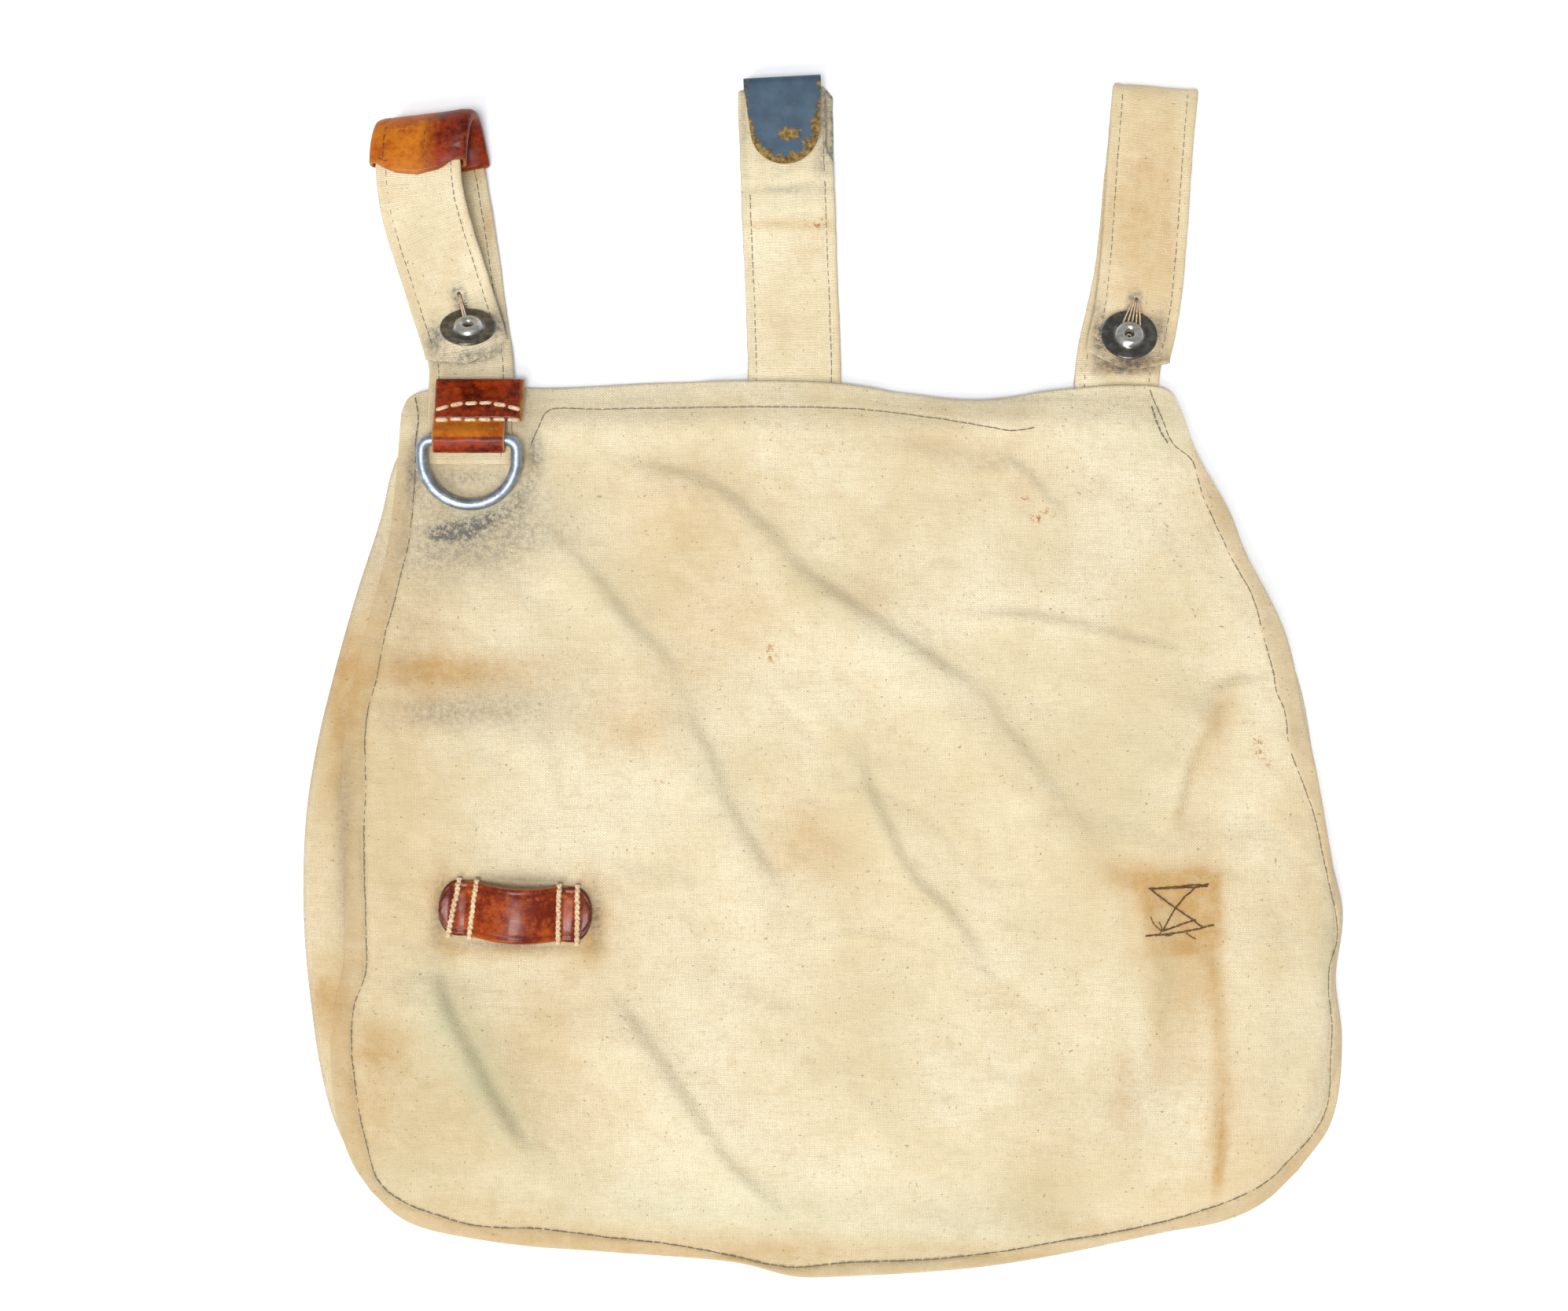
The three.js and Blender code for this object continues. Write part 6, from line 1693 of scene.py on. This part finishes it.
def makeKeeper():
    columns, rows = 110, 34
    u = np.sin(np.linspace(-1, 1, columns) * np.pi / 2 * 0.985) / math.sin(np.pi / 2 * 0.985)
    v = np.sin(np.linspace(-1, 1, rows) * np.pi / 2)
    along = np.repeat(u[None] * keeper["length"] / 2, rows, 0)
    tipStart = keeper["length"] / 2 - keeper["width"] * 0.36
    past = np.maximum(0, np.abs(along) - tipStart) / (keeper["length"] / 2 - tipStart)
    half = keeper["width"] / 2 * np.sqrt(np.maximum(0.03, 1 - 0.97 * past ** 2.3))
    side = v[:, None] * half
    x, y = keeperPlace(along, side)
    base = keeperBase(x, y, along)
    fromEdge = half - np.abs(side)
    bead = 0.22 * np.exp(-((fromEdge - 1.9) / 0.45) ** 2)  # a creased line beside each edge
    sewn = sum(0.4 * np.exp(-((along - place) / 1.0) ** 2) for place in (-19.4, -13.0, 13.6, 19.6))
    crown = 0.5 * (1 - (side / half) ** 2) + 0.12 * softNoise(along, side, 6, 101)
    crown = crown + 0.05 * softNoise(along, side, 2, 102)
    low = base - 0.05
    high = base + cloth["leather"] + 0.15 + crown - bead - sewn
    # painted shade: the flat sewn ends are darker towards the tips
    ends = np.clip((np.abs(along) - 17) / 6, 0, 1)
    creased = 0.5 * np.exp(-((fromEdge - 1.9) / 0.4) ** 2)
    tipEdge = 0.7 * np.clip(1 - fromEdge / 1.0, 0, 1) * (np.abs(along) > 15)
    marks = {
        "rawEdge": np.clip(1 - fromEdge / 0.45, 0, 1) * (np.abs(along) < 16) * 0.9,
        "burnishAndShade": np.clip(ends * 0.55 + creased + tipEdge, 0, 1),
    }
    piece = slab("keeperStrap", x, y, low, high, marks)
    finished(piece, keeperLeather, replaces=["strap_keeper"])


makeKeeper()


def makeClosingTab():
    shares = np.sin(np.linspace(-1, 1, 26) * np.pi / 2) * 0.5
    downs = np.sin(np.linspace(-1, 1, 90) * np.pi / 2) * 0.5 + 0.5
    across = closingTab["x"] + shares * closingTab["width"]
    xs, ys = np.meshgrid(across, closingTab["top"] - downs * closingTab["length"])
    base = pouchFront(xs, ys) + cloth["gap"]
    border = np.minimum(closingTab["width"] / 2 - np.abs(xs - closingTab["x"]), 4)
    wave = 0.06 * softNoise(xs, ys, 5, 111)
    top = base + closingTab["thickness"] - 0.1 + wave
    piece = slab("closingTabStrap", xs, ys, base, top, {"rawEdge": np.clip(1 - border / 0.5, 0, 1)})
    finished(piece, tanLeather, replaces=["closing_tab"])


makeClosingTab()
print("leather pieces are made")


# Stitches: one short length of thread, modelled once and copied

def oneStitch():
    bpy.ops.object.select_all(action="DESELECT")
    lying = (0, math.pi / 2, 0)
    bpy.ops.mesh.primitive_cylinder_add(
        vertices=6, radius=1, depth=1, rotation=lying, end_fill_type="NOTHING")
    piece = bpy.context.object
    bpy.ops.object.transform_apply(rotation=True)
    bpy.ops.object.mode_set(mode="EDIT")
    for plane in (-0.36, 0.0, 0.36):
        bpy.ops.mesh.select_all(action="SELECT")
        bpy.ops.mesh.bisect(plane_co=(plane, 0, 0), plane_no=(1, 0, 0))
    for end in (-0.5, 0.5):
        pick(piece, lambda co: abs(co.x - end) < 0.01)
        bpy.ops.transform.resize(value=(1, 0.45, 0.45), center_override=(end, 0, 0))
        bpy.ops.mesh.edge_face_add()
    bpy.ops.object.mode_set(mode="OBJECT")
    mend(piece)
    points = np.array([v.co for v in piece.data.vertices])
    faces = [list(f.vertices) for f in piece.data.polygons]
    bpy.data.objects.remove(piece)
    return points, faces


stitchShape = oneStitch()


def sew(name, stitches, material):
    # stitches: from, to, direction away from the cloth, radius, how high the middle stands and how
    # deep the ends go
    shape, faces = stitchShape
    points, allFaces = [], []
    for k, (start, end, away, radius, stand, sink) in enumerate(stitches):
        start, end, away = (np.asarray(v, float) for v in (start, end, away))
        along = end - start
        side = np.cross(away, along)
        side /= max(np.linalg.norm(side), 1e-9)
        lift = stand * (1 - (2 * shape[:, 0]) ** 2) - sink * (2 * shape[:, 0]) ** 4
        points.append(
            start + along * (shape[:, :1] + 0.5) + side * shape[:, 1:2] * radius
            + away * (shape[:, 2:3] * radius + lift[:, None]))
        allFaces += [[v + k * len(shape) for v in face] for face in faces]
    piece = meshPiece(name, np.concatenate(points), allFaces)
    return finished(piece, material)


def flapAway(x, y):
    step = 0.8
    slopeX = (flapTopZ(x + step, y) - flapTopZ(x - step, y)) / (2 * step)
    slopeY = (flapTopZ(x, y + step) - flapTopZ(x, y - step)) / (2 * step)
    away = np.stack([-slopeX, -slopeY, np.ones_like(slopeX)], -1)
    return away / np.linalg.norm(away, axis=-1, keepdims=True)


def rowOnFlap(line, pitch, share, radius, stand=0.10, sink=0.14, wobble=0.12, seed=1):
    places = atSpacing(line, pitch)
    x, y = places[:, 0], places[:, 1]
    points = np.stack([x, y, flapTopZ(x, y) + 0.16], 1)
    away = flapAway(x, y)
    shake = np.random.RandomState(seed).uniform(-wobble, wobble, (len(points), 2))
    row = []
    for k in range(len(points) - 1):
        a, b = points[k].copy(), points[k + 1].copy()
        a[:2] += shake[k]
        b[:2] += shake[k + 1] * 0.5
        row.append((a, mixed(a, b, share), away[k] + away[k + 1], radius, stand, sink))
    return [(a, b, n / np.linalg.norm(n), r, s, d) for a, b, n, r, s, d in row]


def rowOnStrap(line, lengths, asides, outward, pitch, share, radius, stand=0.12, sink=0.3, seed=1):
    # A row between places given as length along the strap and distance from its middle.
    places = atSpacing(np.stack([lengths, asides], 1), pitch)
    shake = np.random.RandomState(seed).uniform(-0.1, 0.1, len(places))
    points, away = line.at(places[:, 0], places[:, 1] + shake, np.full(len(places), outward))
    away = away * np.sign(outward)
    pairs = zip(points, points[1:], away)
    return [(a, mixed(a, b, share), up, radius, stand, sink) for a, b, up in pairs]


# from stitch to stitch, the share of that which a stitch takes, and the thread's radius
sewing = {
    "hem": (2.7, 0.98, 0.165), "hemEnd": (2.4, 0.9, 0.24), "hemStart": (2.7, 0.9, 0.18),
    "box": (2.3, 1.04, 0.25), "loose": (1.4, 1.05, 0.15),
    "strap": (2.6, 0.94, 0.125), "strapPoint": (2.2, 0.94, 0.125), "sleeve": (2.2, 0.93, 0.19),
}

hemStitches = rowOnFlap(hemLine, *sewing["hem"], seed=2)
hemStitches += rowOnFlap(seamThread, *sewing["hem"], seed=3)
upTheRight = ((1464, 516), (1470, 534), (1476, 548), (1486, 564))
hemStitches += rowOnFlap(onFlap(upTheRight), *sewing["hemEnd"], seed=4)
upTheLeft = ((528, 505), (532, 530), (529, 560), (528, 590))
hemStitches += rowOnFlap(onFlap(upTheLeft), *sewing["hemStart"], seed=5)
sew("hemStitches", hemStitches, hemThread)

boxRows = [
    ((1461, 1131), (1500, 1127), (1538, 1124)), ((1461, 1129), (1500, 1129), (1536, 1127)),
    ((1457, 1190), (1500, 1186), (1544, 1176)), ((1463, 1131), (1492, 1152), (1530, 1179)),
    ((1521, 1127), (1500, 1148), (1478, 1184)), ((1478, 1184), (1500, 1176), (1521, 1169)),
]
looseRows = [
    ((1463, 1165), (1468, 1176), (1478, 1184)), ((1474, 1172), (1478, 1184), (1470, 1190)),
    ((1508, 1186), (1516, 1192), (1521, 1194)), ((1479, 1188), (1486, 1190), (1493, 1187)),
]
boxStitches = []
for rows, thread, seed, height in (
    (boxRows, "box", 20, {"stand": 0.24, "sink": 0.16, "wobble": 0.22}),
    (looseRows, "loose", 30, {"stand": 0.2, "sink": 0.1, "wobble": 0.1}),
):
    for n, places in enumerate(rows):
        boxStitches += rowOnFlap(onFlap(places), *sewing[thread], seed=seed + n, **height)
sew("boxStitches", boxStitches, brownThread)

strapStitches = []
face = cloth["strap"] / 2 - 0.18
for side, seed in (("left", 40), ("right", 50)):
    line = lines[side].finer(1.0)
    end = line.length[-1]
    lengths = [2.0, end / 2, end - 4.2]
    for aside in (-10.2, 10.2):
        strapStitches += rowOnStrap(line, lengths, [aside] * 3, face, *sewing["strap"], seed=seed)
        strapStitches += rowOnStrap(line, lengths, [aside] * 3, -face, *sewing["strap"], seed=seed + 1)
    for back in (1.6, 5.0):  # the two rows that follow the pointed end
        lengths = [end - back - 0.3, end - back + straps[side]["point"] * 0.85, end - back - 0.3]
        strapStitches += rowOnStrap(
            line, lengths, [-10.2, 0, 10.2], face, *sewing["strapPoint"], seed=seed + 5)
line = lines["centre"].finer(1.0)
end = line.length[-1]
for lengths, aside, outward, seed in (
    ([1.5, 30, foldAt - 33], -12.0, -face, 60), ([1.5, 30, foldAt - 41], -12.0, face, 61),
    ([1.5, 30, foldAt - 14], 11.8, -face, 60), ([1.5, 30, foldAt - 41], 11.8, face, 61),
    ([foldAt + 6, end - 15, end - 1.5], -11.8, -face, 62),
):
    strapStitches += rowOnStrap(line, lengths, [aside] * 3, outward, *sewing["strap"], seed=seed)
sew("strapStitches", strapStitches, hemThread)

sleeveStitches = []
onSleeve = cloth["strap"] / 2 + sleeve["ease"] + sleeve["leather"] + 0.12
reach = sleeveLine.length[-1]
lengths = [6, reach * 0.6, reach - 0.5]
for aside in (-10.8, 2.0):
    sleeveStitches += rowOnStrap(sleeveLine, lengths, [aside] * 3, onSleeve, *sewing["sleeve"], seed=70)
asides = np.linspace(-12.6, 4.0, 7)
lengths = reach - 1.8 + sleeveEdge(asides / 15.4)
sleeveStitches += rowOnStrap(sleeveLine, lengths, asides, onSleeve, *sewing["sleeve"], seed=71)
sew("sleeveStitches", sleeveStitches, brownThread)


def tabStitchRow(rowY, arch, count, seed):
    x0 = roots["left"] + tab["aside"]
    shake = np.random.RandomState(seed)
    row = []
    edges = np.linspace(-tab["width"] / 2 + 0.3, tab["width"] / 2 - 0.4, count + 1)
    for a, b in zip(edges[:-1], edges[1:]):
        ends = []
        for x in (a + 0.25, b - 0.35):
            y = rowY + arch * (1 - (x / 9) ** 2) + shake.uniform(-0.2, 0.2)
            ends.append(np.array([x0 + x, y, tabSeat(y) + tab["thick"] + 0.30]))
        radius = 0.70 + shake.uniform(-0.08, 0.08)
        row.append((*ends, np.array([0, 0.05, 1.0]), radius, 0.15, 0.55))
    return row


sew("tabStitches", tabStitchRow(-8.3, 1.1, 6, 80) + tabStitchRow(-12.7, 0.0, 6, 81), linenThread)

keeperStitches = []
for n, (top, low) in enumerate(((-17.9, -20.6), (-12.3, -13.9), (13.3, 14.0), (19.0, 20.0))):
    shake = np.random.RandomState(90 + n)
    count = 11
    for k in range(count):
        side = mixed(keeper["width"] / 2 + 0.6, -keeper["width"] / 2 - 0.6, (k + 0.5) / count)
        along = mixed(top, low, (k + 0.5) / count) + shake.uniform(-0.12, 0.12)
        edge = max(0.0, abs(side) - keeper["width"] / 2 + 1.2)
        for slant in (-1, 1):
            ends = []
            for d in (-1, 1):
                x, y = keeperPlace(np.array(along + slant * d * 0.62), np.array(side - d * 1.15))
                z = float(keeperBase(x, y, np.array(along))) + cloth["leather"] + 0.30 - edge * 0.7
                ends.append(np.array([float(x), float(y), z]))
            keeperStitches.append((*ends, np.array([0, 0, 1.0]), 0.58, 0.16 + 0.1 * slant, 0.25))
sew("keeperStitches", keeperStitches, linenThread)
print("stitches are sewn")


# Buttonholes and shanks

def makeShank(side):
    seat, middle, below, at = buttonSeats[side]
    line = lines[side]
    # strands from the back ply up through the slot to the button, and a fan up to the slot's end
    foot = np.array([middle[0], middle[1], below[2] + cloth["strap"] / 2])
    head = middle + np.array([0, 0, 0.2])
    shake = np.random.RandomState(120)
    strands = []
    for k in range(7):
        a = 2 * math.pi * k / 7
        outwards = np.array([math.cos(a), math.sin(a), 0])
        strands.append((foot + outwards * 1.1, head + outwards * 0.7, outwards, 0.42, 0.05, 0.0))
    upTheSlot = -line.along[at]
    for k in range(5 if side == "right" else 2):
        spread = (k - 2) * 0.9 if side == "right" else (k - 0.5) * 0.5
        start = middle + upTheSlot * 2.5 + line.across[at] * spread * 1.7 + np.array([0, 0, 0.3])
        end = seat + upTheSlot * (12.4 + shake.uniform(-0.6, 0.6))
        end = end + line.across[at] * spread * 0.5 - line.inward[at] * 1.25
        strands.append((start, end, -line.inward[at], 0.27, 0.35, 0.1))
    piece = sew("shankThread_" + side, strands, linenThread)
    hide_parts("button_thread_" + side)
    # the whipped edge round the slot
    whip = []
    long, wide = buttonhole["length"], buttonhole["width"]
    outline = [(-wide / 2, y) for y in np.arange(0, long - wide, 0.85)]
    for a in np.linspace(math.pi, 0, 9):
        outline.append((wide / 2 * math.cos(a), long - wide + wide / 2 * math.sin(a)))
    outline += [(wide / 2, y) for y in np.arange(long - wide, 0, -0.85)]
    for x, y in outline:
        out = np.array([x, max(0, y - (long - wide))])
        out = out / max(np.hypot(*out), 1e-6)
        base = seat + upTheSlot * (y - buttonhole["above"])
        inner = base + line.across[at] * (x - out[0] * 0.35) + upTheSlot * (-out[1] * 0.35)
        outer = base + line.across[at] * (x + out[0] * 1.05) + upTheSlot * (out[1] * 1.05)
        raised = -line.inward[at] * (cloth["strap"] / 2 + 0.05)
        whip.append((inner + raised, outer + raised, -line.inward[at], 0.40, 0.12, 0.35))
    sew("buttonholeEdge_" + side, whip, hemThread)


for side in ("left", "right"):
    makeShank(side)
print("buttonholes are edged")
